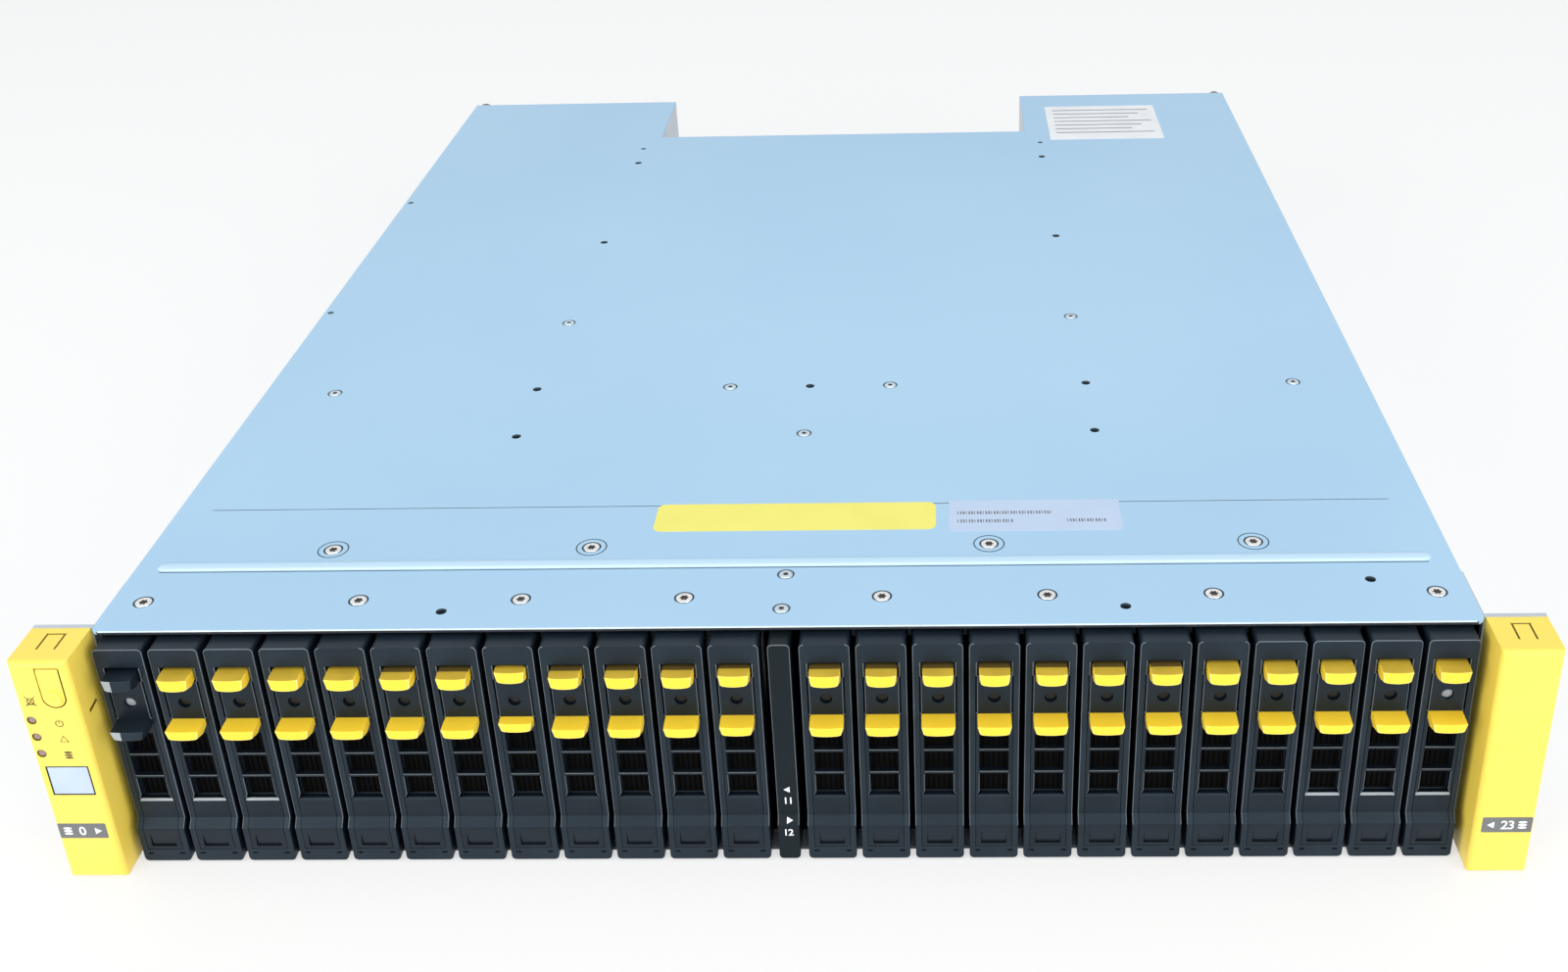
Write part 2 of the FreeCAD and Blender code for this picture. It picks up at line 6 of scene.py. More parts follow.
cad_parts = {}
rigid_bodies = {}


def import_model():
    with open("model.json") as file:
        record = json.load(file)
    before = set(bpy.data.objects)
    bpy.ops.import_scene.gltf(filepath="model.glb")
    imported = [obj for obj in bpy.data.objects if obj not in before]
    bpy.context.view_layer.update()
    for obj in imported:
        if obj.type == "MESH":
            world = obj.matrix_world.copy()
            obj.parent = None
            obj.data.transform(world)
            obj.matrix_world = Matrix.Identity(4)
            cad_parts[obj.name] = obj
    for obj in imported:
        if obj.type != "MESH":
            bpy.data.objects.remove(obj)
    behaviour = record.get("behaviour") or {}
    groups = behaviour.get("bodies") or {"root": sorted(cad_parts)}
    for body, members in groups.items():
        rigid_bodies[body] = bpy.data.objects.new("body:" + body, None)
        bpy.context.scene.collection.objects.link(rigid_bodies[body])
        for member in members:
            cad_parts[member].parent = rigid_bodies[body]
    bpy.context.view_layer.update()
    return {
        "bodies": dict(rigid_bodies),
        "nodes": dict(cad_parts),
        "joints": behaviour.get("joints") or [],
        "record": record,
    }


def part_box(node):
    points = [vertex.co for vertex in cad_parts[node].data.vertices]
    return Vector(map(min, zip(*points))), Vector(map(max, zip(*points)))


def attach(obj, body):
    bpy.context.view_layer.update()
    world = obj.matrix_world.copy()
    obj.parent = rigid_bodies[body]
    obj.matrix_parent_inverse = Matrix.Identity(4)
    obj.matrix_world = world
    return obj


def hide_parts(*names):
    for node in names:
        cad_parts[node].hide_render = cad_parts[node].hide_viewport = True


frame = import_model()
nodes = frame["nodes"]
mm = 0.001  # the dictionaries hold millimetres, the scene is in metres
mergeGap = 1e-6  # metres: corners closer than this are one
seamGap = 2e-5  # the same for the seams that cutting leaves
flatTurn = math.radians(0.5)  # faces that turn less than this are one
smoothTurn = 30  # degrees: edges softer than this are shaded smooth
turnTo = {"Z": (0, 0, 0), "Y": (math.pi / 2, 0, 0), "X": (0, math.pi / 2, 0)}


# Small tools

def clearSelection():
    if bpy.context.object and bpy.context.object.mode != "OBJECT":
        bpy.ops.object.mode_set(mode="OBJECT")
    bpy.ops.object.select_all(action="DESELECT")


def pick(piece):
    clearSelection()
    piece.hide_set(False)
    piece.select_set(True)
    bpy.context.view_layer.objects.active = piece


def inEditMode(piece, *steps, kind="FACE"):
    # each step is a call that works on what is selected
    pick(piece)
    bpy.context.tool_settings.mesh_select_mode = [kind == each for each in ("VERT", "EDGE", "FACE")]
    bpy.ops.object.mode_set(mode="EDIT")
    for step in steps:
        step()
    bpy.ops.object.mode_set(mode="OBJECT")


def selectAllFaces():
    bpy.ops.mesh.select_all(action="SELECT")


def unpick(mesh):
    for part in (mesh.vertices, mesh.edges, mesh.polygons):
        part.foreach_set("select", [False] * len(part))


def pickFaces(piece, test):
    # faces are picked by their middle, in millimetres, and their normal
    unpick(piece.data)
    for face in piece.data.polygons:
        face.select = bool(test(face.center / mm, face.normal))


def applyPlace(piece):
    pick(piece)
    bpy.ops.object.transform_apply(location=True, rotation=True, scale=True)


def addBlock(name, low, high):
    # between two opposite corners
    clearSelection()
    centre = [(a + b) / 2 * mm for a, b in zip(low, high)]
    bpy.ops.mesh.primitive_cube_add(size=1, location=centre)
    block = bpy.context.object
    block.name = name
    block.scale = [abs(b - a) * mm for a, b in zip(low, high)]
    applyPlace(block)
    return block


def addRod(name, centre, radius, length, axis="Z", sides=32, tip=None):
    # a rod, or a cone when tip gives the far radius
    clearSelection()
    tip = radius if tip is None else tip
    bpy.ops.mesh.primitive_cone_add(
        vertices=sides, radius1=radius * mm, radius2=tip * mm, depth=length * mm,
        location=[c * mm for c in centre], rotation=turnTo[axis])
    rod = bpy.context.object
    rod.name = name
    applyPlace(rod)
    return rod


def joinPieces(pieces, name):
    clearSelection()
    for piece in pieces:
        piece.select_set(True)
    bpy.context.view_layer.objects.active = pieces[0]
    if len(pieces) > 1:
        bpy.ops.object.join()
    pieces[0].name = name
    return pieces[0]


def applyLast(piece, modifier):
    pick(piece)
    bpy.ops.object.modifier_apply(modifier=modifier.name)


def combine(piece, other, operation, crossing=False):
    # crossing says that the other's parts may cross each other
    change = piece.modifiers.new("combine", "BOOLEAN")
    change.operation = operation
    change.solver = "EXACT"
    change.use_self = crossing
    change.object = other
    applyLast(piece, change)
    bpy.data.objects.remove(other)
    return piece


def cutAway(piece, cutters):
    return combine(piece, joinPieces(cutters, "cutter"), "DIFFERENCE", len(cutters) > 1)


def addOn(piece, extra):
    return combine(piece, extra, "UNION")


def carve(piece, name, low, high):
    return cutAway(piece, [addBlock(name, low, high)])


def bore(piece, centre, radius, length, **shape):
    return cutAway(piece, [addRod("bore", centre, radius, length, **shape)])


def along(axis):
    # a test for edges that run with an axis
    return lambda at, way: abs(getattr(way, axis)) > 0.99


def pickEdges(piece, test):
    # edges are picked by their middle, in millimetres, and their direction
    mesh = piece.data
    unpick(mesh)
    for edge in mesh.edges:
        start, end = (mesh.vertices[corner].co for corner in edge.vertices)
        edge.select = bool(test((start + end) / 2 / mm, (end - start).normalized()))


def roundEdges(piece, radius, segments, test):
    pick(piece)
    pickEdges(piece, test)
    inEditMode(piece, lambda: bpy.ops.mesh.bevel(offset=radius * mm, segments=segments, affect="EDGES"), kind="EDGE")


def nudge(piece, test, shift):
    # moves the corners whose place passes the test; everything in millimetres
    unpick(piece.data)
    for corner in piece.data.vertices:
        corner.select = bool(test(corner.co / mm))
    inEditMode(piece, lambda: bpy.ops.transform.translate(value=[step * mm for step in shift]), kind="VERT")


def shapeFaces(piece, test, *steps):
    pick(piece)
    pickFaces(piece, test)
    inEditMode(piece, *steps)


def sliceAcross(piece, place, way):
    # adds a row of edges where a plane crosses the piece
    slice = {"plane_co": [p * mm for p in place], "plane_no": way}
    inEditMode(piece, selectAllFaces, lambda: bpy.ops.mesh.bisect(**slice))


def softenEdges(piece, width, segments=2, angle=35, rim=-1):
    # rim is the place of the material that the soft edges take
    inEditMode(piece, selectAllFaces, lambda: bpy.ops.mesh.remove_doubles(threshold=seamGap))
    soft = piece.modifiers.new("soft", "BEVEL")
    soft.use_clamp_overlap = False
    soft.material = rim
    soft.width = width * mm
    soft.segments = segments
    soft.limit_method = "ANGLE"
    soft.angle_limit = math.radians(angle)
    soft.miter_outer = "MITER_ARC"
    applyLast(piece, soft)
    bpy.ops.object.shade_smooth_by_angle(angle=math.radians(max(angle, smoothTurn)))
    flat = piece.modifiers.new("flat", "WEIGHTED_NORMAL")  # large faces stay flat beside their soft edges
    flat.keep_sharp = True
    applyLast(piece, flat)
    return piece


def copyNode(node, name, plain=False):
    # a merged copy of a frame node, free to be shaped; a plain one keeps its triangles
    piece = ownCopy(nodes[node], name)
    inEditMode(
        piece, selectAllFaces,
        lambda: bpy.ops.mesh.customdata_custom_splitnormals_clear(),
        lambda: bpy.ops.mesh.remove_doubles(threshold=mergeGap))
    if not plain:
        flatten(piece)
    piece.data.materials.clear()
    return piece


def flatten(piece):
    # joins the triangles of each flat face
    inEditMode(piece, selectAllFaces, lambda: bpy.ops.mesh.dissolve_limited(angle_limit=flatTurn))
    return piece


def splitLoose(piece):
    # the separate solids of a piece, each as its own object
    inEditMode(piece, selectAllFaces, lambda: bpy.ops.mesh.separate(type="LOOSE"))
    return list(bpy.context.selected_objects)


def cornersOf(piece):
    # lowest and highest corner, in millimetres
    sides = list(zip(*(corner.co / mm for corner in piece.data.vertices)))
    return Vector([min(side) for side in sides]), Vector([max(side) for side in sides])


def middle(piece):
    low, high = cornersOf(piece)
    return (low + high) / 2


def ownCopy(piece, name, shift=(0, 0, 0)):
    # a copy with its own mesh, moved in millimetres
    copy = bpy.data.objects.new(name, piece.data.copy())
    bpy.context.scene.collection.objects.link(copy)
    copy.data.transform(Matrix.Translation(Vector(shift) * mm))
    return copy


def coat(piece, *materials):
    # its own material first, then those of its edges and marked faces
    piece.data.materials.clear()
    for material in materials:
        piece.data.materials.append(material)
    for face in piece.data.polygons:
        face.material_index = 0
    return piece


def tintFaces(piece, place, test):
    # faces picked by their middle and normal take another of the piece's materials
    for face in piece.data.polygons:
        if test(face.center / mm, face.normal):
            face.material_index = place
    return piece


def swapCoat(piece, old, new):
    for place, material in enumerate(piece.data.materials):
        if material == old:
            piece.data.materials[place] = new


def placePiece(piece, body, material=None):
    if material is not None:
        coat(piece, material)
    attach(piece, body)
    return piece


# Materials

def addNode(tree, kind, inputs, operation=None):
    # each input is a value, or the socket that feeds it
    node = tree.nodes.new("ShaderNode" + kind)
    if operation:
        node.operation = operation
    feed(tree, node, inputs)
    return node


def feed(tree, node, inputs):
    for socket, value in inputs.items():
        if isinstance(value, bpy.types.NodeSocket):
            tree.links.new(value, node.inputs[socket])
        else:
            node.inputs[socket].default_value = value


def addNoise(tree, scale, stretch=(1, 1, 1), detail=2.0):
    # noise on object coordinates; scale is in waves a metre
    place = addNode(tree, "TexCoord", {})
    fit = addNode(tree, "Mapping", {"Vector": place.outputs["Object"], "Scale": stretch})
    noise = addNode(tree, "TexNoise", {"Vector": fit.outputs["Vector"], "Scale": scale, "Detail": detail})
    return noise.outputs["Fac"]


def addRamp(tree, factor, *stops):
    ramp = addNode(tree, "ValToRGB", {"Fac": factor})
    for element, (position, colour) in zip(ramp.color_ramp.elements, stops):
        element.position = position
        element.color = (*colour, 1)
    return ramp.outputs["Color"]


def newMaterial(name, colour, roughness, metallic=0.0):
    material = bpy.data.materials.new(name)
    material.use_nodes = True
    paint(material, {"Base Color": (*colour, 1), "Roughness": roughness, "Metallic": metallic})
    return material


def paint(material, inputs):
    feed(material.node_tree, material.node_tree.nodes["Principled BSDF"], inputs)


def dullShine(material, level, tint):
    paint(material, {"Specular IOR Level": level, "Specular Tint": (*tint, 1)})


def addGrain(material, scale, height, depth, stretch=(1, 1, 1)):
    # a fine bump
    noise = addNoise(material.node_tree, scale, stretch, 3.0)
    bump = addNode(material.node_tree, "Bump", {"Strength": height, "Distance": depth * mm, "Height": noise})
    paint(material, {"Normal": bump.outputs["Normal"]})


def varyColour(material, dark, light, scale, stretch=(1, 1, 1), spread=(0.35, 0.65), detail=4.0):
    # a soft drift between two colours
    noise = addNoise(material.node_tree, scale, stretch, detail)
    paint(material, {"Base Color": addRamp(material.node_tree, noise, *zip(spread, (dark, light)))})


def varyRoughness(material, low, high, scale, stretch=(1, 1, 1)):
    noise = addNoise(material.node_tree, scale, stretch)
    span = addNode(material.node_tree, "MapRange", {"Value": noise, "To Min": low, "To Max": high})
    paint(material, {"Roughness": span.outputs["Result"]})


def makeFinish(name, colour, roughness, metallic=0.0, shine=None, drift=None, gloss=None, grain=None, lacquer=0.0):
    # what is given of shine, drift, gloss and grain goes to the four functions above
    finish = newMaterial(name, colour, roughness, metallic)
    for change, values in ((dullShine, shine), (varyColour, drift), (varyRoughness, gloss), (addGrain, grain)):
        if values:
            change(finish, *values)
    if lacquer:
        paint(finish, {"Coat Weight": lacquer})
    return finish


def makeYellowPlastic(name, colour, dark):
    return makeFinish(name, colour, 0.38, drift=(dark, colour, 25), grain=(2200, 0.12, 0.02))


def makeLabelStock(name, colour, dark):
    return makeFinish(name, colour, 0.5, drift=(dark, colour, 60), grain=(1500, 0.1, 0.02))


def makeClear(name, colour):
    return makeFinish(name, colour, 0.12, drift=([0.9 * part for part in colour], colour, 60), lacquer=0.6)


def makeTrim(name, colour, roughness, shine=None):
    # painted highlights and shades on narrow edges, seats and grooves, and the strip's black: one tone with a light
    # grain
    dark = [0.85 * part for part in colour]
    return makeFinish(name, colour, roughness, shine=shine, drift=(dark, colour, 90), grain=(2200, 0.1, 0.02))


def makeBeadHighlight():
    # a painted highlight on the pressed bead, pale along its front and running out to the back
    steel = newMaterial("beadHighlight", (0.6, 0.8, 0.95), 0.34, 0.1)
    tree = steel.node_tree
    place = addNode(tree, "TexCoord", {})
    split = addNode(tree, "SeparateXYZ", {"Vector": place.outputs["Object"]})
    span = addNode(tree, "MapRange", {"Value": split.outputs["Y"], "From Min": 31.2 * mm, "From Max": 37.2 * mm})
    sheen = addRamp(tree, span.outputs["Result"], (0, (0.56, 0.765, 0.91)), (1, (0.40, 0.60, 0.78)))
    paint(steel, {"Base Color": sheen})
    addGrain(steel, 900, 0.08, 0.05, (1, 0.15, 1))
    return steel


even = (1, 1, 1)
coverSteel = makeFinish(
    "coverSteel", (0.40, 0.60, 0.78), 0.42, 0.05, shine=(0.18, even),
    drift=((0.385, 0.585, 0.77), (0.42, 0.62, 0.80), 4, even, (0.35, 0.65), 6),
    gloss=(0.42, 0.54, 9, (1, 0.4, 1)), grain=(900, 0.08, 0.05, (1, 0.15, 1)))
zincSteel = makeFinish(
    "zincSteel", (0.50, 0.56, 0.62), 0.38, 0.7, drift=((0.475, 0.535, 0.595), (0.54, 0.595, 0.65), 30),
    gloss=(0.3, 0.5, 40), grain=(700, 0.08, 0.05))
blackPlastic = makeFinish(
    "blackPlastic", (0.008, 0.013, 0.020), 0.4, shine=(0.38, (0.66, 0.86, 1.0)),
    drift=((0.005, 0.009, 0.0145), (0.0085, 0.0145, 0.0225), 60), gloss=(0.34, 0.46, 90), grain=(2600, 0.25, 0.03))
leverBlack = makeFinish(
    "leverBlack", (0.006, 0.009, 0.014), 0.36, shine=(0.34, (0.66, 0.86, 1.0)),
    drift=((0.004, 0.007, 0.011), (0.007, 0.011, 0.017), 70), gloss=(0.3, 0.42, 80), grain=(2600, 0.2, 0.03))
capYellow = makeYellowPlastic("capYellow", (0.97, 0.735, 0.115), (0.95, 0.705, 0.10))
tabYellow = makeYellowPlastic("tabYellow", (0.98, 0.68, 0.04), (0.95, 0.64, 0.035))
labelYellow = makeLabelStock("labelYellow", (0.86, 0.79, 0.17), (0.83, 0.76, 0.155))
labelSilver = makeLabelStock("labelSilver", (0.50, 0.61, 0.78), (0.47, 0.585, 0.76))
labelWhite = makeLabelStock("labelWhite", (0.84, 0.86, 0.88), (0.77, 0.79, 0.82))
inkGrey = makeLabelStock("inkGrey", (0.12, 0.13, 0.15), (0.2, 0.21, 0.23))
inkBrown = makeLabelStock("inkBrown", (0.13, 0.10, 0.03), (0.09, 0.07, 0.02))
markWhite = makeLabelStock("markWhite", (0.86, 0.88, 0.9), (0.8, 0.82, 0.85))
plaqueGrey = makeLabelStock("plaqueGrey", (0.155, 0.16, 0.165), (0.14, 0.145, 0.15))
lampRose = makeClear("lampRose", (0.30, 0.20, 0.17))
displayGlass = makeClear("displayGlass", (0.50, 0.60, 0.74))
greenLens = makeClear("greenLens", (0.05, 0.45, 0.12))
amberLens = makeClear("amberLens", (0.7, 0.32, 0.03))
paleLens = makeClear("paleLens", (0.30, 0.33, 0.36))
rivetSteel = makeFinish("rivetSteel", (0.55, 0.66, 0.74), 0.3, 0.85, gloss=(0.25, 0.45, 300))
darkSteel = makeFinish("darkSteel", (0.10, 0.11, 0.12), 0.4, 0.8,
                       drift=((0.08, 0.088, 0.096), (0.13, 0.14, 0.15), 120), gloss=(0.32, 0.5, 200))
driveSteel = makeFinish("driveSteel", (0.30, 0.31, 0.32), 0.38, 0.9,
                        drift=((0.26, 0.27, 0.28), (0.34, 0.35, 0.36), 45), grain=(1200, 0.1, 0.03, (1, 0.1, 1)))
screwSteel = makeFinish("screwSteel", (0.75, 0.77, 0.78), 0.28, 0.95,
                        drift=((0.68, 0.7, 0.71), (0.8, 0.82, 0.83), 300), gloss=(0.2, 0.38, 500))
boardGreen = makeFinish("boardGreen", (0.02, 0.12, 0.05), 0.3, lacquer=0.4, drift=(
    (0.016, 0.10, 0.042), (0.026, 0.15, 0.065), 220, (1, 1, 0.3), (0.47, 0.53), 1))
# near-black painted shade: the window's screen, the carriers' foot slots and the finger panel's lower and side walls
paintedShadeBlack = makeFinish("paintedShadeBlack", (0.0008, 0.0009, 0.001), 0.8, shine=(0.1, even), grain=(1800, 0.3, 0.05))
fanGrey = makeFinish("fanGrey", (0.03, 0.032, 0.036), 0.45,
                     drift=((0.022, 0.024, 0.028), (0.038, 0.04, 0.045), 50), grain=(2200, 0.2, 0.03))
ejectorBlack = makeFinish("ejectorBlack", (0.02, 0.022, 0.026), 0.42,
                          drift=((0.015, 0.017, 0.02), (0.026, 0.028, 0.033), 50), grain=(2200, 0.25, 0.03))
darkLens = makeFinish("darkLens", (0.004, 0.005, 0.007), 0.3, shine=(0.3, even),
                      drift=((0.003, 0.004, 0.005), (0.006, 0.008, 0.01), 200))
# painted highlight on the lit outline edges of the carrier fronts, levers and strip
rimHighlight = makeTrim("rimHighlight", (0.12, 0.145, 0.17), 0.34)
# painted highlight on the carriers' top edge, on the end bays only
topEdgeHighlight = makeTrim("topEdgeHighlight", (0.12, 0.145, 0.17), 0.34)  # the carriers' top edges alone
# painted highlight on the upward faces of the lever window's bars
barHighlight = makeTrim("barHighlight", (0.13, 0.15, 0.165), 0.4)
# painted highlight on the window sill of the end levers and on the fronts of the first lever's black tabs
sillHighlight = makeTrim("sillHighlight", (0.34, 0.38, 0.40), 0.4)
# painted highlight on the finger tabs' edges
tabEdgeHighlight = makeTrim("tabEdgeHighlight", (0.98, 0.84, 0.30), 0.4)
# painted shade on the upper tab's top face
paintedTabShade = makeTrim("paintedTabShade", (0.60, 0.41, 0.035), 0.45)
# painted shade on the upper tab's top behind its root line
paintedTabBackShade = makeTrim("paintedTabBackShade", (0.60, 0.41, 0.035), 0.45)
# painted shadow at the upper tab's root, on the middle levers
paintedRootShadow = makeTrim("paintedRootShadow", (0.10, 0.065, 0.008), 0.6)
# painted shade for the sunk seats, holes, pits and lines in the cover and for the tray's front edges
seatShade = makeTrim("seatShade", (0.055, 0.085, 0.11), 0.6)
# painted shade in the screw sockets and rivet eyes
socketShade = makeTrim("socketShade", (0.03, 0.022, 0.016), 0.6)
# painted highlight on the cover's rounded front edge
coverEdgeHighlight = makeTrim("coverEdgeHighlight", (0.72, 0.86, 0.95), 0.3)
# painted shade on the cover sheet's front face
coverEdgeShade = makeTrim("coverEdgeShade", (0.02, 0.024, 0.03), 0.6)
# painted shade in the end caps' grooves, notch, bores and the gaps beside the tongue
grooveShade = makeTrim("grooveShade", (0.20, 0.15, 0.012), 0.6)
stripBlack = makeTrim("stripBlack", (0.0065, 0.0105, 0.0135), 0.4, (0.2, (0.72, 0.88, 1.0)))
beadHighlight = makeBeadHighlight()
print("materials ready")
# Places that the pieces share, read from the frame

slotCount = 24


def boxOf(node):
    low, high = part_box(node)
    return low / mm, high / mm


coverLow, coverHigh = boxOf("top_cover")
capLow, capHigh = boxOf("end_cap_right")
coverTop = capHigh.z  # the cover's flat, level with the caps
slotX = [sum(corner.x for corner in boxOf("lever_%02d" % slot)) / 2 for slot in range(slotCount)]
firstCarrier = boxOf("carrier_00")
print("frame read")


# Cover

coverCard = {
    "corner": 3.0, "notchHalf": 102.1, "notchFront": 474.7, "edge": 0.12, "frontRound": 0.55,
    "ring": (4.95, 5.3),  # the fine pressed ring round each screw of the second row
    "beadFromFront": 35.0, "beadWidth": 6.8, "beadHeight": 0.58, "beadEndGap": 6.5,
    "lineFromFront": 75.0, "lineHalf": 209.0, "lineWidth": 0.6, "lineDepth": 0.15,
    # radius, depth and upper radius of what is sunk into the sheet
    "dimple": (3.1, 0.6, 3.35), "hole": (1.75, 8, 1.75), "rivetSeat": (2.7, 0.3, 3.2), "pit": (0.9, 0.5, 1.9),
    # across, and back from the cover's front edge
    "holes": ((-110.3, 10.2), (110.3, 10.2), (191.1, 24.5), (-110.5, 168), (0, 168), (110.5, 168),
              (-110.6, 128.2), (110.6, 128.2), (-109, 324), (109, 324), (-109, 437), (109, 437)),
    "rivets": ((0, 10.3), (0, 30.3), (-192.6, 166.6), (192.6, 166.6), (-32.2, 168), (32.2, 168),
               (0, 128.2), (-109.2, 231.5), (109.2, 231.5)),
    "pits": ((-109.5, 460), (109.5, 460), (-218.6, 245.5), (-218.6, 381.5)),
}


def onCover(place):
    return (place[0], coverLow.y + place[1])


def makeBead():
    # a pressed rib with a steep front and a soft back
    card = coverCard
    foot = coverLow.y + card["beadFromFront"]
    bead = addBlock("bead", (coverLow.x + card["beadEndGap"], foot, coverTop - 0.4),
                    (coverHigh.x - card["beadEndGap"], foot + card["beadWidth"], coverTop + card["beadHeight"]))
    roundEdges(bead, 2.6, 5, along("z"))
    shapeFaces(bead, lambda at, way: way.z > 0.9,
               lambda: bpy.ops.transform.resize(value=(0.988, 0.5, 1)),
               lambda: bpy.ops.transform.translate(value=(0, -0.9 * mm, 0)))
    return bead


def isSunk(at, way):
    # floors and walls of the seats, holes and lines, which lie in shade
    if not coverLow.z + 0.02 < at.z < coverTop - 0.02:
        return False
    if 70 < at.y < 72:
        return way.z > 0.5
    if abs(at.x) > coverHigh.x - 1 or at.y < coverLow.y + 1 or at.y > coverHigh.y - 1:
        return False
    return not (abs(at.x) < 103 and at.y > 470)


def makeCover():
    card = coverCard
    cover = addBlock("coverSheet", (coverLow.x, coverLow.y, coverLow.z), (coverHigh.x, coverHigh.y, coverTop))
    carve(cover, "notch", (-card["notchHalf"], card["notchFront"], coverLow.z - 5),
          (card["notchHalf"], coverHigh.y + 5, coverTop + 5))
    addOn(cover, makeBead())
    roundEdges(cover, card["corner"], 6, lambda at, way: abs(way.z) > 0.99 and at.y < coverLow.y + 1)
    roundEdges(cover, card["frontRound"], 3, lambda at, way: at.z > coverTop - 0.01 and at.y < coverLow.y + 0.01)
    # the cover's paint, then the painted highlights on the bead and the front edge, the painted shade on the front
    # face, and the painted shade of the sunk places
    coat(cover, coverSteel, beadHighlight, coverEdgeHighlight, coverEdgeShade, seatShade)
    radius, depth, wide = card["dimple"]
    cutters = [addRod("dimple", (x, y, coverTop - depth / 2 + 0.05), radius, depth + 0.1, sides=48, tip=wide)
               for x, y in screwPlaces]
    for kind, places, sides in (("hole", "holes", 28), ("rivetSeat", "rivets", 28), ("pit", "pits", 20)):
        radius, depth, wide = card[kind]
        cutters += [addRod(kind, (*onCover(place), coverTop), radius, depth, sides=sides, tip=wide)
                    for place in card[places]]
    y = coverLow.y + card["lineFromFront"]
    cutters.append(addBlock("line", (-card["lineHalf"], y, coverTop - card["lineDepth"]),
                            (card["lineHalf"], y + card["lineWidth"], coverTop + 1)))
    near = coverLow.y + card["beadFromFront"] - 0.55
    far = coverLow.y + card["beadFromFront"] + card["beadWidth"] + 0.4
    cutters.append(addBlock("beadLine", (coverLow.x + 9, near, coverTop - 0.2),
                            (coverHigh.x - 9, near + 0.45, coverTop + 1)))
    cutAway(cover, cutters)
    inner, outer = card["ring"]
    for x, y in screwPlaces:
        if y > 30:
            ring = addRod("ring", (x, y, coverTop), outer, 0.2, sides=64)
            cutAway(cover, [bore(ring, (x, y, coverTop), inner, 2, sides=64)])
    # the bead's faces take its painted highlight
    tintFaces(cover, 1, lambda at, way: at.z > coverTop - 0.01 and near + 0.3 < at.y < far
              and (at.z > coverTop + 0.02 or way.z < 0.99) and abs(at.x) < coverHigh.x - 6)
    # the rounded front edge takes the painted highlight
    tintFaces(cover, 2, lambda at, way: at.y < coverLow.y + card["frontRound"] and way.z > 0.1 and way.y < -0.1)
    # the sheet's front face takes the painted shade
    tintFaces(cover, 3, lambda at, way: at.y < coverLow.y + 0.1 and way.y < -0.9)
    tintFaces(cover, 4, isSunk)
    softenEdges(cover, card["edge"], 2, 14)
    placePiece(cover, "chassis")
    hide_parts("top_cover")


screwCard = {"radius": 2.85, "height": 0.6, "crown": 0.2, "socket": 1.5, "socketDepth": 0.5, "lobes": 6}


def makeScrewHead():
    # a low head with a six-lobed socket, at the origin
    card = screwCard
    head = addRod("screwHead", (0, 0, 0), card["radius"], card["height"], sides=48,
                  tip=card["radius"] - card["crown"])
    cutters = [addRod("core", (0, 0, card["height"] / 2), card["socket"] * 0.7, card["socketDepth"], sides=24)]
    out = card["socket"] * 0.68
    for lobe in range(card["lobes"]):
        turn = 2 * math.pi / card["lobes"] * lobe
        cutters.append(addRod("lobe", (out * math.cos(turn), out * math.sin(turn), card["height"] / 2),
                              card["socket"] * 0.28, card["socketDepth"], sides=12))
    coat(head, screwSteel, socketShade)
    cutAway(head, cutters)
    # the socket's floor and walls take the painted shade
    tintFaces(head, 1, lambda at, way: way.z > -0.5 and at.z < card["height"] / 2 - 0.02
              and at.xy.length < card["radius"] - 0.5)
    softenEdges(head, 0.12, 2, 40)
    return head


def placeScrews():
    head = makeScrewHead()
    screws = joinPieces([ownCopy(head, "head", (x, y, coverTop - 0.28)) for x, y in screwPlaces], "coverScrews")
    bpy.data.objects.remove(head)
    placePiece(screws, "chassis")
    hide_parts("cover_screws")


def placeRivets():
    button = coat(addRod("rivet", (0, 0, 0.05), 2.4, 0.4, sides=32, tip=2.0), rivetSteel, socketShade)
    bore(button, (0, 0, 0.3), 0.8, 0.4, sides=20, tip=1.0)
    # the rivet's eye takes the painted shade
    tintFaces(button, 1, lambda at, way: way.z > -0.5 and at.xy.length < 1.2 and at.z < 0.2)
    softenEdges(button, 0.1, 2, 30)
    rivets = [ownCopy(button, "rivet", (*onCover(place), coverTop - 0.05)) for place in coverCard["rivets"]]
    bpy.data.objects.remove(button)
    placePiece(joinPieces(rivets, "coverRivets"), "chassis")


def findScrews():
    # screw centres in plan, from the frame's own screws
    places = []
    for solid in splitLoose(copyNode("cover_screws", "screwStart")):
        at = middle(solid)
        places.append((at.x, at.y))
        bpy.data.objects.remove(solid)
    return places


screwPlaces = findScrews()
makeCover()
placeScrews()
placeRivets()
print("cover made")


# Labels on the cover

labelCard = {
    # low and high corners across and back from the cover's front edge, then the corner radius
    "yellowLabel": ((-48.4, 57.8), (50.0, 76.0), 3.0),
    "silverLabel": ((54.5, 56.2), (114.5, 76.8), 0.8),
    "rearLabel": ((115.5, 464.0), (178.0, 522.0), 0.8),
    "thick": 0.08, "ink": 0.02, "barStep": 0.98, "ruleStep": 6.5, "rules": 7,
    "barRows": ((3, 8.5, 34), (3, 14, 20), (41, 14, 14)),  # place in the label, then how many bars
}


def makeLabel(name, material):
    low, high, corner = labelCard[name]
    label = addBlock(name, (*onCover(low), coverTop - 0.05), (*onCover(high), coverTop + labelCard["thick"]))
    roundEdges(label, corner, 4, along("z"))
    softenEdges(label, 0.03, 1, 60)
    placePiece(label, "chassis", material)


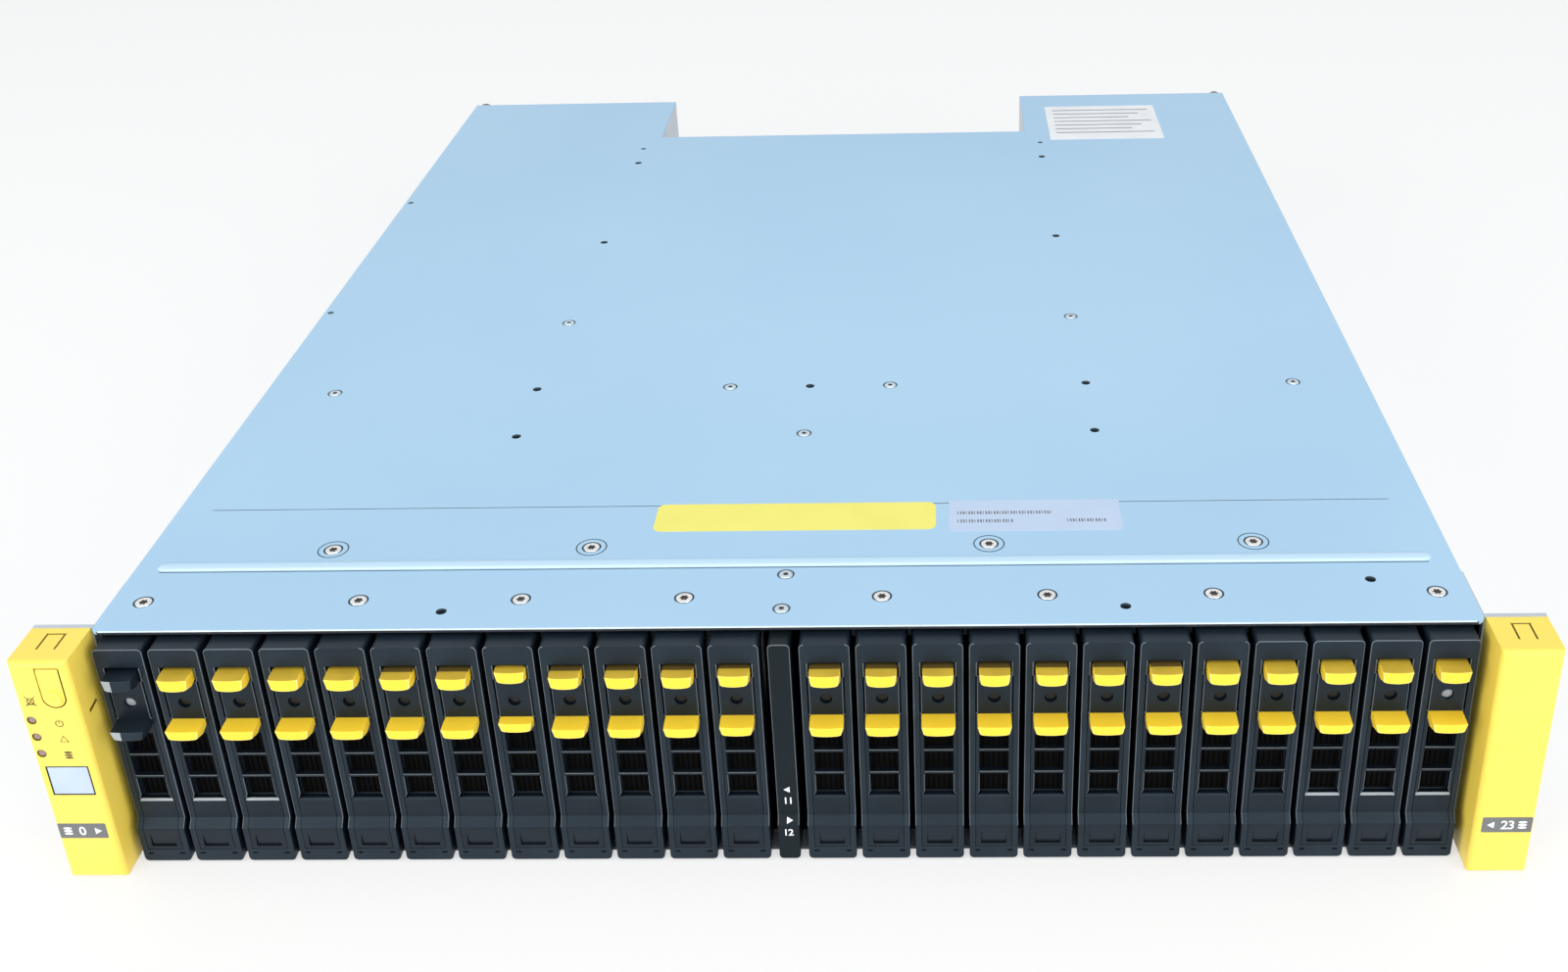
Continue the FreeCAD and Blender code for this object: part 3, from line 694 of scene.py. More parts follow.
def makeLabelMarks():
    # plain even bars and rules, with nothing to read in them
    top = coverTop + labelCard["thick"]
    ink = labelCard["ink"]
    marks = []
    low, high = labelCard["silverLabel"][:2]
    for start, drop, count in labelCard["barRows"]:
        x, y = onCover((low[0] + start, high[1] - drop))
        for bar in range(count):
            wide = 0.55 if bar % 3 else 0.32
            marks.append(addBlock("bar", (x, y - 1, top - ink), (x + wide, y + 1, top + ink)))
            x += labelCard["barStep"]
    low, high = labelCard["rearLabel"][:2]
    for rule in range(labelCard["rules"]):
        x, y = onCover((low[0] + 4, high[1] - 8 - rule * labelCard["ruleStep"]))
        long = high[0] - low[0] - 8 - rule % 3 * 6
        marks.append(addBlock("rule", (x, y, top - ink), (x + long, y + 1.2, top + ink)))
    placePiece(joinPieces(marks, "labelMarks"), "chassis", inkGrey)


makeLabel("yellowLabel", labelYellow)
makeLabel("silverLabel", labelSilver)
makeLabel("rearLabel", labelWhite)
makeLabelMarks()
print("labels made")


# Carriers, each with its front, runners, air screen and drive

bayCard = {
    # across, then back and up; the front steps out at its foot
    "half": 8.0, "face": -11.0, "foot": -13.5, "back": -2.0, "top": 85.5, "bottom": 0.6,
    "stepTop": 17.2, "stepFoot": 14.6, "ledgeY": -8.8, "ledgeZ": 2.6,
    "topRound": 1.5, "footRound": 1.4, "edge": 0.24,
    "pocketHalf": 6.0, "pocketBack": -8.3, "pocketTop": 78.5, "pocketFootBack": -10.2, "lipZ": 5.4, "troughZ": 4.6,
    "cavity": ((-6.0, -6.3, 8.0), (6.0, 1.0, 78.4)), "opening": ((-4.7, -12.0, 25.0), (4.7, 1.0, 52.5)),
    "footSlot": ((5.4, 3.9), (0.85, 0.3), 0.7),  # place across and up, half size, depth
    "litEnds": (2, 21),  # the last bay from each end whose edges catch the light
}
runnerCard = {
    "half": 7.7, "low": (3.0, 8.0), "high": (78.7, 83.7), "rear": (114.5, 136.2),
    "grooveLong": (8.0, 106.0), "grooveTall": 1.6, "grooveDeep": 0.6, "boltRadius": 1.7, "bolts": (30.0, 90.0),
    "airHeights": (20, 30, 60, 70),
}


def makeStepped(name, half, front, back, low, high, step, footFront, footBack):
    # an upright block whose foot stands forward, with a slope between the two heights of the step
    piece = addBlock(name, (-half, front, low), (half, back, high))
    for z in step:
        sliceAcross(piece, (0, 0, z), (0, 0, 1))
    nudge(piece, lambda at: at.z < step[0] + 0.01 and at.y < front + 0.01, (0, footFront - front, 0))
    nudge(piece, lambda at: at.z < step[0] + 0.01 and at.y > back - 0.01, (0, footBack - back, 0))
    return piece


def makeCarrierFrame():
    card = bayCard
    half, face, foot = card["half"], card["face"], card["foot"]
    frame = makeStepped("bayFrame", half, face, card["back"], card["bottom"], card["top"],
                        (card["stepFoot"], card["stepTop"]), foot, card["back"])
    coat(frame, blackPlastic, rimHighlight, paintedShadeBlack, topEdgeHighlight)
    roundEdges(frame, card["topRound"], 5, lambda at, way: abs(way.y) > 0.99 and at.z > card["top"] - 0.1)
    carve(frame, "underFoot", (-half - 1, card["ledgeY"], -1), (half + 1, 1, card["ledgeZ"]))
    roundEdges(frame, card["footRound"], 3, lambda at, way: abs(way.y) > 0.99 and at.z < card["bottom"] + 0.1)
    wide, front = card["pocketHalf"], foot - 2
    carve(frame, "pocket", (-wide, front, card["stepTop"]), (wide, card["pocketBack"], card["pocketTop"]))
    carve(frame, "footPocket", (-wide, front, card["lipZ"]), (wide, card["pocketFootBack"], card["stepTop"] + 0.1))
    carve(frame, "trough", (-wide, foot + 0.75, card["troughZ"]),
          (wide, card["pocketFootBack"], card["lipZ"] + 0.1))
    carve(frame, "cavity", *card["cavity"])
    carve(frame, "opening", *card["opening"])
    (x, z), (wide, tall), depth = card["footSlot"]
    for side in (-1, 1):
        carve(frame, "footSlot", (side * x - wide, foot - 1, z - tall), (side * x + wide, foot + depth, z + tall))
    # the soft edges take the painted rim highlight, which stays only on the lit outline
    softenEdges(frame, card["edge"], 2, 30, rim=1)
    tintFaces(frame, 0, isInside)
    # painted highlight on the middle of the top edge's round
    tintFaces(frame, 3, lambda at, way: 0.3 < way.z < 0.98 and abs(at.x) < 3 and at.z > card["top"] - 1
              and at.y < face + card["edge"])
    # the foot slots take the painted shade
    return tintFaces(frame, 2, lambda at, way: abs(abs(at.x) - x) < wide and abs(at.z - z) < tall
                     and at.y > foot + 0.1)


def isInside(at, way):
    # only the outline of the front catches the light
    card = bayCard
    onSide = abs(at.x) > card["half"] - card["edge"] and card["stepTop"] - 3 < at.z
    onTop = at.z > card["top"] - card["topRound"]
    return not ((onSide or onTop) and at.y < card["face"] + 1.2 * card["edge"])


def makeRunners():
    # two long runners and the rear block with the plug, grooved along their sides
    card = runnerCard
    half = card["half"]
    parts = []
    for low, high in (card["low"], card["high"]):
        runner = addBlock("runner", (-half, bayCard["back"] - 0.3, low), (half, card["rear"][1], high))
        z, tall = (low + high) / 2, card["grooveTall"] / 2
        for side in (-1, 1):
            near, far = card["grooveLong"]
            carve(runner, "groove", (side * (half - card["grooveDeep"]), near, z - tall),
                  (side * (half + 1), far, z + tall))
        parts.append(softenEdges(runner, 0.3, 2, 30))
    near, far = card["rear"]
    rear = addBlock("rearBlock", (-half, near, card["low"][1] - 0.2), (half, far, card["high"][0] + 0.2))
    for z in card["airHeights"]:
        carve(rear, "air", (-half + 2, near - 1, z - 3), (half - 2, far + 1, z + 3))
    parts.append(softenEdges(rear, 0.3, 2, 30))
    for side in (-1, 1):
        for y in card["bolts"]:
            bolt = addRod("bolt", (side * (half - card["grooveDeep"] + 0.1), y, sum(card["low"]) / 2),
                          card["boltRadius"], 0.6, axis="X", sides=24)
            parts.append(softenEdges(bolt, 0.15, 1, 50))
    return joinPieces(parts, "runners")


screenCard = {"half": 5.2, "low": 24.6, "high": 52.9, "front": -7.7, "back": -6.7, "slits": 5, "slit": 0.7, "deep": 0.5}


def makeScreen():
    # the air screen behind the lever's window, ribbed by upright grooves; its near-black colour is painted shade for
    # the dark inside of the bay
    card = screenCard
    screen = addBlock("screen", (-card["half"], card["front"], card["low"]), (card["half"], card["back"], card["high"]))
    coat(screen, paintedShadeBlack)
    pitch = 2 * card["half"] / (card["slits"] + 1)
    for slit in range(card["slits"]):
        x = -card["half"] + pitch * (slit + 1)
        carve(screen, "slit", (x - card["slit"] / 2, card["front"] - 1, card["low"] + 1),
              (x + card["slit"] / 2, card["front"] + card["deep"], card["high"] - 1))
    return screen


driveCard = {"half": 7.5, "length": (14.0, 114.2), "height": (8.0, 78.4), "lidIn": 3.0, "lidDeep": 0.5,
             "label": ((34.0, 22.0), (92.0, 64.0))}


def makeDrive():
    # a metal case with a sunk lid on one side and a bare label on it
    card = driveCard
    (near, far), (low, high) = card["length"], card["height"]
    case = coat(addBlock("driveCase", (-card["half"], near, low), (card["half"], far, high)), driveSteel)
    inset = card["lidIn"]
    carve(case, "lid", (card["half"] - card["lidDeep"], near + inset, low + inset),
          (card["half"] + 1, far - 4 * inset, high - inset))
    roundEdges(case, 1.0, 3, lambda at, way: abs(way.z) > 0.99 and abs(at.x) > card["half"] - 0.1)
    softenEdges(case, 0.3, 2, 30)
    (y0, z0), (y1, z1) = card["label"]
    x = card["half"] - card["lidDeep"]
    label = addBlock("driveLabel", (x - 0.1, y0, z0), (x + 0.1, y1, z1))
    roundEdges(label, 1.5, 3, along("x"))
    return joinPieces([case, coat(label, labelWhite)], "drive")


def placeCarriers():
    front = joinPieces([makeCarrierFrame(), makeScreen()], "carrierFront")
    runners, drive = coat(makeRunners(), blackPlastic), makeDrive()
    kinds = (("carrierFront_", front, "black_plastic"), ("runners_", runners, "black_plastic"),
             ("driveCase_", drive, "screw_steel"))
    firstLit, lastLit = bayCard["litEnds"]
    for slot in range(slotCount):
        body = "carrier_%02d" % slot
        for name, pattern, slotName in kinds:
            piece = placePiece(ownCopy(pattern, name + body[-2:], (slotX[slot], 0, 0)), body)
            if pattern is front:
                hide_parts(body)
                if firstLit + 1 < slot < lastLit - 1:
                    swapCoat(piece, topEdgeHighlight, blackPlastic)  # no light on the middle ones' top edge
    for name, pattern, slotName in kinds:
        bpy.data.objects.remove(pattern)


placeCarriers()
print("carriers made")


# Levers

leverCard = {
    "half": 5.94, "face": -11.0, "back": -8.6, "foot": -13.5, "footBack": -10.5, "bottom": 4.9, "top": 78.4,
    "footRound": 1.48, "edge": 0.2,
    "windowHalf": 4.7, "windowFlare": 0.9, "windows": ((25.0, 34.15), (35.05, 43.15), (44.05, 52.5)),
    "pipeHeight": 64.6, "pipeRadius": 1.95, "pipeDepth": 1.6, "pipeLong": 0.5,
    "recessHalf": 5.5, "recessLow": 73.2, "recessDepth": 2.0,
    "grooveLow": 58.6, "grooveHigh": 73.0, "grooveWidth": 0.5, "grooveDepth": 1.0,
    "wedgeHalf": 4.1, "wedgeLow": 7.0, "wedgeHigh": 12.8, "wedgeDepth": 0.7,
    "sill": 0.7, "shadowedRoots": (5, 18),  # first and last lever whose upper tab is shaded at its root
}
tabSink = {7: 3.2, 11: 0.6}  # tabs that stand less proud than the others
upperTab = {"half": 4.85, "front": -16.55, "back": -9.15, "low": 72.85, "high": 77.35,
            "crease": -13.6, "slope": 0.35, "narrow": 0.6, "bow": 0.5, "rise": 0.5, "root": -12.5}
lowerTab = {"half": 5.4, "front": -18.15, "back": -10.7, "low": 54.85, "high": 58.35,
            "crease": -14.4, "slope": 0.2, "narrow": 0.75, "bow": 0.35, "rise": 0.9}


def makeWindowCutter(low, high):
    # one opening of the window; the lowest one flares at its foot
    card = leverCard
    half = card["windowHalf"]
    cutter = addBlock("window", (-half, card["foot"] - 1, low), (half, card["back"] + 1, high))
    if low == card["windows"][0][0]:
        sliceAcross(cutter, (0, 0, low + 2 * card["windowFlare"]), (0, 0, 1))
        for side in (-1, 1):
            nudge(cutter, lambda at: at.z < low + 0.1 and at.x * side > 0, (side * card["windowFlare"], 0, 0))
    return cutter


def makeFootWedge():
    # the finger panel in the foot: deepest at its lower edge
    card = leverCard
    wedge = addBlock("footWedge", (-card["wedgeHalf"], card["foot"] - 1, card["wedgeLow"]),
                     (card["wedgeHalf"], card["foot"] + card["wedgeDepth"], card["wedgeHigh"]))
    nudge(wedge, lambda at: at.z > card["wedgeHigh"] - 0.1 and at.y > card["foot"], (0, -card["wedgeDepth"] - 0.02, 0))
    return wedge


def makeLeverPlate():
    card = leverCard
    half, face = card["half"], card["face"]
    plate = makeStepped("leverPlate", half, face, card["back"], card["bottom"], card["top"],
                        (bayCard["stepFoot"], bayCard["stepTop"]), card["foot"], card["footBack"])
    coat(plate, leverBlack, rimHighlight, barHighlight, sillHighlight, paintedShadeBlack)
    roundEdges(plate, card["footRound"], 4, lambda at, way: abs(way.x) > 0.99 and at.z < card["bottom"] + 0.1)
    for low, high in card["windows"]:
        cutAway(plate, [makeWindowCutter(low, high)])
    bore(plate, (0, face + card["pipeDepth"] / 2 - 0.5, card["pipeHeight"]), card["pipeRadius"],
         card["pipeDepth"] + 1, axis="Y", sides=32)
    carve(plate, "tabRecess", (-card["recessHalf"], face - 1, card["recessLow"]),
          (card["recessHalf"], face + card["recessDepth"], card["top"] + 1))
    for side in (-1, 1):
        carve(plate, "sideGroove", (side * (half - card["grooveWidth"]), face - 1, card["grooveLow"]),
              (side * (half + 1), face + card["grooveDepth"], card["grooveHigh"]))
    cutAway(plate, [makeFootWedge()])
    sill = card["windows"][0][0]
    roundEdges(plate, card["sill"], 1, lambda at, way: abs(way.x) > 0.99 and abs(at.z - sill) < 0.1
               and at.y < face + 0.1)
    # the soft edges take the painted rim highlight, which stays only on the lit rims
    softenEdges(plate, card["edge"], 2, 30, rim=1)
    tintFaces(plate, 0, lambda at, way: not isLeverRim(at))
    wide, deep = card["windowHalf"] + card["windowFlare"], card["sill"]
    # the bars' upward faces take the painted highlight
    tintFaces(plate, 2, lambda at, way: way.z > 0.3 and abs(at.x) < wide and at.y < face + deep
              and sill + 1 < at.z < 45)
    # the window's sill takes the painted highlight
    tintFaces(plate, 3, lambda at, way: way.z > 0.3 and abs(at.x) < wide and at.y < face + deep + 0.1
              and abs(at.z - sill) < deep + 0.2)
    low, high, half = card["wedgeLow"], card["wedgeHigh"], card["wedgeHalf"]
    # the finger panel's lower and side walls take the painted shade
    return tintFaces(plate, 4, lambda at, way: low - 0.1 < at.z < high and abs(at.x) < half + 0.05
                     and at.y > card["foot"] + 0.04 and (way.z > 0.4 or way.x > 0.4))


def isLeverRim(at):
    # edges that catch the light: beside the finger tabs and the window's foot
    card = leverCard
    low, high = card["windows"][0]
    beside = abs(at.x) > card["half"] - 0.8 and at.z > card["grooveLow"] - 4
    foot = abs(abs(at.x) - card["windowHalf"]) < card["windowFlare"] and low + 0.3 < at.z < high - 0.5
    return (beside or foot) and at.y < card["face"] + 0.3


def makeTab(name, card):
    # a finger tab: level back, sloped lip, bowed front with a narrower foot
    tab = addBlock(name, (-card["half"], card["front"], card["low"]), (card["half"], card["back"], card["high"]))
    cuts = [((0, card["crease"], 0), (0, 1, 0))]
    cuts += [((x * card["half"], 0, 0), (1, 0, 0)) for x in (-0.7, -0.35, 0, 0.35, 0.7)]
    if "root" in card:
        cuts.append(((0, card["root"], 0), (0, 1, 0)))
    for place, way in cuts:
        sliceAcross(tab, place, way)
    near = 0.01
    nudge(tab, lambda at: at.y < card["front"] + near and at.z > card["high"] - near, (0, 0, -card["slope"]))
    nudge(tab, lambda at: at.y > card["back"] - near and at.z < card["low"] + near, (0, 0, card["rise"]))
    for share, lift in ((0.99, 1.0), (0.69, 0.42), (0.34, 0.1)):
        reach = share * card["half"]
        outer = 9 if share > 0.9 else reach + 0.1
        nudge(tab, lambda at: at.y < card["front"] + near and at.z < card["low"] + card["rise"] / 2
              and reach - 0.05 < abs(at.x) < outer, (0, 0, lift * card["bow"]))
        nudge(tab, lambda at: at.y < card["front"] + near and reach - 0.05 < abs(at.x) < outer,
              (0, lift * card["bow"], 0))
    foot = card["low"] + card["bow"] + card["rise"]
    for side in (-1, 1):
        nudge(tab, lambda at: at.x * side > card["half"] - near and at.z < foot + near
              and at.y < card["crease"] - near, (-side * card["narrow"], 0, 0))
    coat(tab, tabYellow, tabEdgeHighlight, paintedTabShade, paintedTabBackShade)
    # the soft edges take the painted edge highlight; the rear and the upward-facing edges go back to plain yellow
    softenEdges(tab, 0.26, 3, 28, rim=1)
    tintFaces(tab, 0, lambda at, way: at.y > card["back"] - 1.5 or way.z > 0.25)
    # the upper tab's top takes the painted shade
    tintFaces(tab, 2, lambda at, way: way.z > 0.9 and "root" in card)
    # behind the root line the upper tab's top takes a second painted shade
    return tintFaces(tab, 3, lambda at, way: way.z > 0.2 and "root" in card and at.y > card["root"])


def makeLightPipe():
    card = leverCard
    depth = card["face"] + card["pipeDepth"]
    pipe = addRod("lightPipe", (0, depth - card["pipeLong"] / 2, card["pipeHeight"]), card["pipeRadius"] - 0.05,
                  card["pipeLong"], axis="Y", sides=32)
    roundEdges(pipe, 0.3, 3, lambda at, way: at.y < depth - card["pipeLong"] + 0.1)
    softenEdges(pipe, 0.05, 1, 60)
    return pipe


def placeLevers():
    leverPlate = makeLeverPlate()
    upper, lower = makeTab("upperTab", upperTab), makeTab("lowerTab", lowerTab)
    tabs = joinPieces([upper, lower], "tabs")
    # the first lever's black tabs take a painted highlight on the left of their fronts
    darkTabs = coat(ownCopy(tabs, "darkTabs"), blackPlastic, sillHighlight)
    tintFaces(darkTabs, 1, lambda at, way: way.y < -0.6 and at.x < -1.5)
    lightPipe = makeLightPipe()
    for slot in range(slotCount):
        body, first = "lever_%02d" % slot, slot == 0
        shift = (slotX[slot], 0, 0)
        plate = placePiece(ownCopy(leverPlate, "leverPlate_%02d" % slot, shift), body)
        # the middle levers lose the painted sill highlight
        if bayCard["litEnds"][0] < slot < bayCard["litEnds"][1]:
            swapCoat(plate, sillHighlight, leverBlack)
        own = ownCopy(darkTabs if first else tabs, "leverTabs_%02d" % slot, shift)
        placePiece(own, body)
        # the middle levers' upper tabs take a painted shadow at their root
        if leverCard["shadowedRoots"][0] <= slot <= leverCard["shadowedRoots"][1]:
            swapCoat(own, paintedTabBackShade, paintedRootShadow)
        if slot in tabSink:
            nudge(own, lambda at: at.y < leverCard["face"] - 1.2, (0, tabSink[slot], 0))
        lens = paleLens if slot in (0, slotCount - 1) else darkLens
        placePiece(ownCopy(lightPipe, "lightPipe_%02d" % slot, shift), body, lens)
        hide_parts(body)
    for pattern in (leverPlate, tabs, darkTabs, lightPipe):
        bpy.data.objects.remove(pattern)


placeLevers()
print("levers made")


# End caps, with their button, lamps, display and plain marks

capFront = capLow.y
capCard = {
    "edge": 0.25, "slot": (0.5, 0.5),  # width and depth of the engraved top mark
    "leftTopMark": (-234.8, -229.0, -13.5, -5.0),  # two legs across, then front and rear
    "rightTopMark": (228.7, 234.2, -14.0, -5.4),
    "sideNotch": (-222.0, (-15.0, -9.6), 65.0, 1.1, 8),  # face, near and far, height, width, lean
}
markCard = {"lift": 0.06, "sink": 0.03}


def makeMarkBar(low, high, front):
    # a flat printed bar on a front face, given across and up
    return addBlock("mark", (low[0], front - markCard["lift"], low[1]), (high[0], front + markCard["sink"], high[1]))


def makeMarkDisc(centre, radius, front, sides=32):
    thick = markCard["lift"] + markCard["sink"]
    return addRod("mark", (centre[0], front + markCard["sink"] - thick / 2, centre[1]), radius, thick, axis="Y",
                  sides=sides)


def makeMarkRing(centre, outer, inner, front, sides=32):
    ring = makeMarkDisc(centre, outer, front, sides)
    return bore(ring, (centre[0], front, centre[1]), inner, 2, axis="Y", sides=sides)


def turnPiece(piece, centre, axis, degrees):
    middlePoint = Vector(centre) * mm
    turn = Matrix.Translation(middlePoint) @ Matrix.Rotation(math.radians(degrees), 4, axis)
    piece.data.transform(turn @ Matrix.Translation(-middlePoint))
    return piece


def makeArrow(centre, size, front, way):
    # a solid triangle that points left for -1 and right for 1
    arrow = makeMarkDisc(centre, size, front, 3)
    low, high = cornersOf(arrow)
    upward = high.z - centre[1] > centre[1] - low.z + 0.01
    turnPiece(arrow, (centre[0], front, centre[1]), "Y", 90 * way if upward else -90 * way)
    return arrow


def makeDiskStack(centre, front, size=1.0):
    # three flat drums, one above another
    drums = []
    for step in (-1, 0, 1):
        drum = makeMarkDisc((0, 0), 1.35 * size, front, 24)
        for corner in drum.data.vertices:
            corner.co.z *= 0.32
        drum.data.transform(Matrix.Translation(Vector((centre[0], 0, centre[1] + step * 1.05 * size)) * mm))
        drums.append(drum)
    return joinPieces(drums, "drums")


def makeNumber(text, centre, height, front):
    clearSelection()
    bpy.ops.object.text_add(rotation=(math.pi / 2, 0, 0))
    number = bpy.context.object
    number.data.body = text
    number.data.size = height * 1.42 * mm
    number.data.align_x = "CENTER"
    number.data.space_character = 0.9
    number.data.extrude = 0.03 * mm
    number.data.offset = 0.02 * height * mm
    bpy.ops.object.convert(target="MESH")
    number = bpy.context.object
    applyPlace(number)
    at = middle(number)
    number.data.transform(Matrix.Translation((Vector((centre[0], front - 0.03, centre[1])) - at) * mm))
    return number


def engraveTop(cap, mark):
    left, right, near, far = mark
    width, depth = capCard["slot"]
    top = capHigh.z
    bars = [((left, near), (left + width, far)), ((right, near), (right + width, far)),
            ((left, far - width), (right + width, far))]
    cutAway(cap, [addBlock("topMark", (a[0], a[1], top - depth), (b[0], b[1], top + 1)) for a, b in bars])


def isGroove(at, way):
    # painted shade for the engraved mark's floor, the side notch, and the walls of the openings beside the tongue and
    # of the lamp bores
    inMark = capHigh.z - 0.6 < at.z < capHigh.z - 0.1 and -15 < at.y < -4.6 and 225 < abs(at.x) < 236
    inNotch = 63 < at.z < 67 and -222.9 < at.x < -222.05 and -15.5 < at.y < -9.3
    besideTongue = -232.6 < at.x < -224.3 and 69 < at.z < 87 and at.y > capFront + 0.4
    low, high = lampCard["heights"][-1] - 2, lampCard["heights"][0] + 2
    inBore = abs(at.x - lampCard["across"]) < 1.9 and low < at.z < high and 0.05 < at.y - capFront < 3
    return inMark or inNotch or (besideTongue or inBore) and abs(way.y) < 0.5


def makeCap(side):
    node = "end_cap_" + side
    cap = coat(copyNode(node, "cap_" + side), capYellow, grooveShade)
    engraveTop(cap, capCard[side + "TopMark"])
    if side == "left":
        inner, (near, far), height, wide, lean = capCard["sideNotch"]
        notch = addBlock("sideNotch", (inner - 0.8, near, height - wide / 2), (inner + 1, far, height + wide / 2))
        turnPiece(notch, (inner, (near + far) / 2, height), "X", lean)
        cutAway(cap, [notch])
    tintFaces(cap, 1, isGroove)
    softenEdges(cap, capCard["edge"], 2, 32)
    placePiece(cap, "chassis")
    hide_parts(node)


def makeButton():
    button = copyNode("mute_button", "muteTongue")
    low, high = cornersOf(button)
    eye = addRod("eye", ((low.x + high.x) / 2, low.y, 74.4), 0.9, 0.3, axis="Y", sides=24)
    cutAway(button, [eye])
    coat(button, capYellow, grooveShade)
    # the tongue's side walls take the painted shade of the gaps beside it
    tintFaces(button, 1, lambda at, way: abs(way.x) > 0.9 and at.y > capFront + 0.4)
    softenEdges(button, 0.2, 2, 30)
    placePiece(button, "mute_button")
    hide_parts("mute_button")


lampCard = {"across": -238.1, "heights": (65.6, 59.0, 52.4), "radius": 1.42, "sunk": 0.35, "deep": 1.4}


def makeLamps():
    card = lampCard
    lamps = []
    for z in card["heights"]:
        front = capFront + card["sunk"]
        lamp = addRod("lamp", (card["across"], front + card["deep"] / 2, z), card["radius"], card["deep"], axis="Y",
                      sides=32)
        roundEdges(lamp, 0.5, 3, lambda at, way: at.y < front + 0.01)
        lamps.append(softenEdges(lamp, 0.04, 1, 60))
    placePiece(joinPieces(lamps, "capLamps"), "chassis", lampRose)


displayCard = {"low": (-238.4, 35.3), "high": (-224.4, 47.1), "rim": 0.45, "sunk": 0.12, "back": -20.1}


def makeDisplay():
    card = displayCard
    (x0, z0), (x1, z1) = card["low"], card["high"]
    rim = card["rim"]
    front = capFront + card["sunk"]
    frameRing = addBlock("displayRim", (x0, front, z0), (x1, card["back"], z1))
    carve(frameRing, "hole", (x0 + rim, front - 1, z0 + rim), (x1 - rim, card["back"] + 1, z1 - rim))
    softenEdges(frameRing, 0.08, 1, 40)
    placePiece(frameRing, "chassis", blackPlastic)
    pane = addBlock("displayPane", (x0 + rim, front + 0.05, z0 + rim), (x1 - rim, card["back"], z1 - rim))
    softenEdges(pane, 0.15, 2, 40)
    placePiece(pane, "chassis", displayGlass)


plaqueCard = {
    "left": ((-240.2, 17.3), (-224.2, 23.5)), "right": ((224.3, 17.3), (240.3, 23.5)),
    "round": 0.5, "lift": 0.1, "apart": 4.9, "number": 3.4,
}


def makePlaque(side):
    (x0, z0), (x1, z1) = plaqueCard[side]
    front = capFront - plaqueCard["lift"]
    plaque = addBlock("plaque_" + side, (x0, front, z0), (x1, capFront + 0.05, z1))
    roundEdges(plaque, plaqueCard["round"], 3, along("y"))
    placePiece(softenEdges(plaque, 0.03, 1, 60), "chassis", plaqueGrey)
    x, z, apart = (x0 + x1) / 2, (z0 + z1) / 2, plaqueCard["apart"]
    sign = 1 if side == "left" else -1  # the marks mirror, the number doesn't
    marks = [makeDiskStack((x - sign * apart, z), front, 1.05),
             makeNumber("0" if side == "left" else "23", (x - sign * 0.1, z), plaqueCard["number"], front),
             makeArrow((x + sign * apart, z), 1.5, front, sign)]
    placePiece(joinPieces(marks, "plaqueMarks_" + side), "chassis", markWhite)


iconCard = {"across": -229.4, "power": 64.4, "warn": 57.9, "disks": 51.8, "bell": (-236.6, 73.2)}


def makeIcons():
    # generic line icons beside the lamps: power, notice, disks, muted bell
    card = iconCard
    x, front = card["across"], capFront
    power = makeMarkRing((x, card["power"]), 1.35, 1.02, front)
    carve(power, "gap", (x - 0.5, front - 1, card["power"]), (x + 0.5, front + 1, card["power"] + 2))
    icons = [power, makeMarkBar((x - 0.16, card["power"] + 0.1), (x + 0.16, card["power"] + 1.5), front)]
    icons.append(makeMarkRing((x, card["warn"]), 1.75, 1.3, front, 3))
    icons.append(makeDiskStack((x, card["disks"]), front))
    bellX, bellZ = card["bell"]
    bell = makeMarkRing((bellX, bellZ), 1.25, 0.95, front)
    icons += [bell, makeMarkBar((bellX - 1.5, bellZ - 1.4), (bellX + 1.5, bellZ - 1.1), front)]
    for lean in (-42, 42):
        stroke = makeMarkBar((bellX - 0.14, bellZ - 2.5), (bellX + 0.14, bellZ + 2.5), front)
        icons.append(turnPiece(stroke, (bellX, front, bellZ), "Y", lean))
    placePiece(joinPieces(icons, "capIcons"), "chassis", inkBrown)


makeCap("left")
makeCap("right")
makeButton()
makeLamps()
makeDisplay()
makePlaque("left")
makePlaque("right")
makeIcons()
print("caps made")


# Drive cage: guide plates, ribs and the strip between the halves

cageCard = {
    "stripHalf": 3.55, "face": -11.0, "foot": -13.5, "wall": ((-1.78, -0.5, 2.6), (1.78, 145.2, 84.1)),
    "marks": (("arrow", 27.8, -1), ("11", 23.2, 0), ("arrow", 15.9, 1), ("12", 11.9, 0)),
    "markHeight": 2.65, "markAcross": 0.2, "slopeLean": -43.9,
}


def makeStrip():
    # the strip between the halves, shaped as the carriers' fronts are, with its wall behind
    card, half, top = cageCard, cageCard["stripHalf"], firstCarrier[1].z
    strip = makeStepped("strip", half, card["face"], 0, bayCard["bottom"], top,
                        (bayCard["stepFoot"], bayCard["stepTop"]), card["foot"], 0)
    coat(strip, stripBlack, rimHighlight)
    roundEdges(strip, bayCard["topRound"], 5, lambda at, way: abs(way.y) > 0.99 and at.z > top - 0.1)
    carve(strip, "underFoot", (-half - 1, bayCard["ledgeY"], -1), (half + 1, 1, bayCard["ledgeZ"]))
    roundEdges(strip, bayCard["footRound"], 3, lambda at, way: abs(way.y) > 0.99 and at.z < bayCard["bottom"] + 0.1)
    # the soft edges take the painted rim highlight, which stays only on the lit outline
    softenEdges(strip, bayCard["edge"], 2, 30, rim=1)
    tintFaces(strip, 0, isStripInside)
    wall = softenEdges(coat(addBlock("wall", *card["wall"]), stripBlack), 0.2, 1, 30)
    return joinPieces([strip, wall], "dividerStrip")


def isStripInside(at, way):
    # only the strip's outline keeps its painted rim highlight
    onSide = abs(at.x) > cageCard["stripHalf"] - 0.3 and at.z > 15
    onTop = at.z > firstCarrier[1].z - bayCard["topRound"]
    return not ((onSide or onTop) and at.y < cageCard["face"] + 0.35)


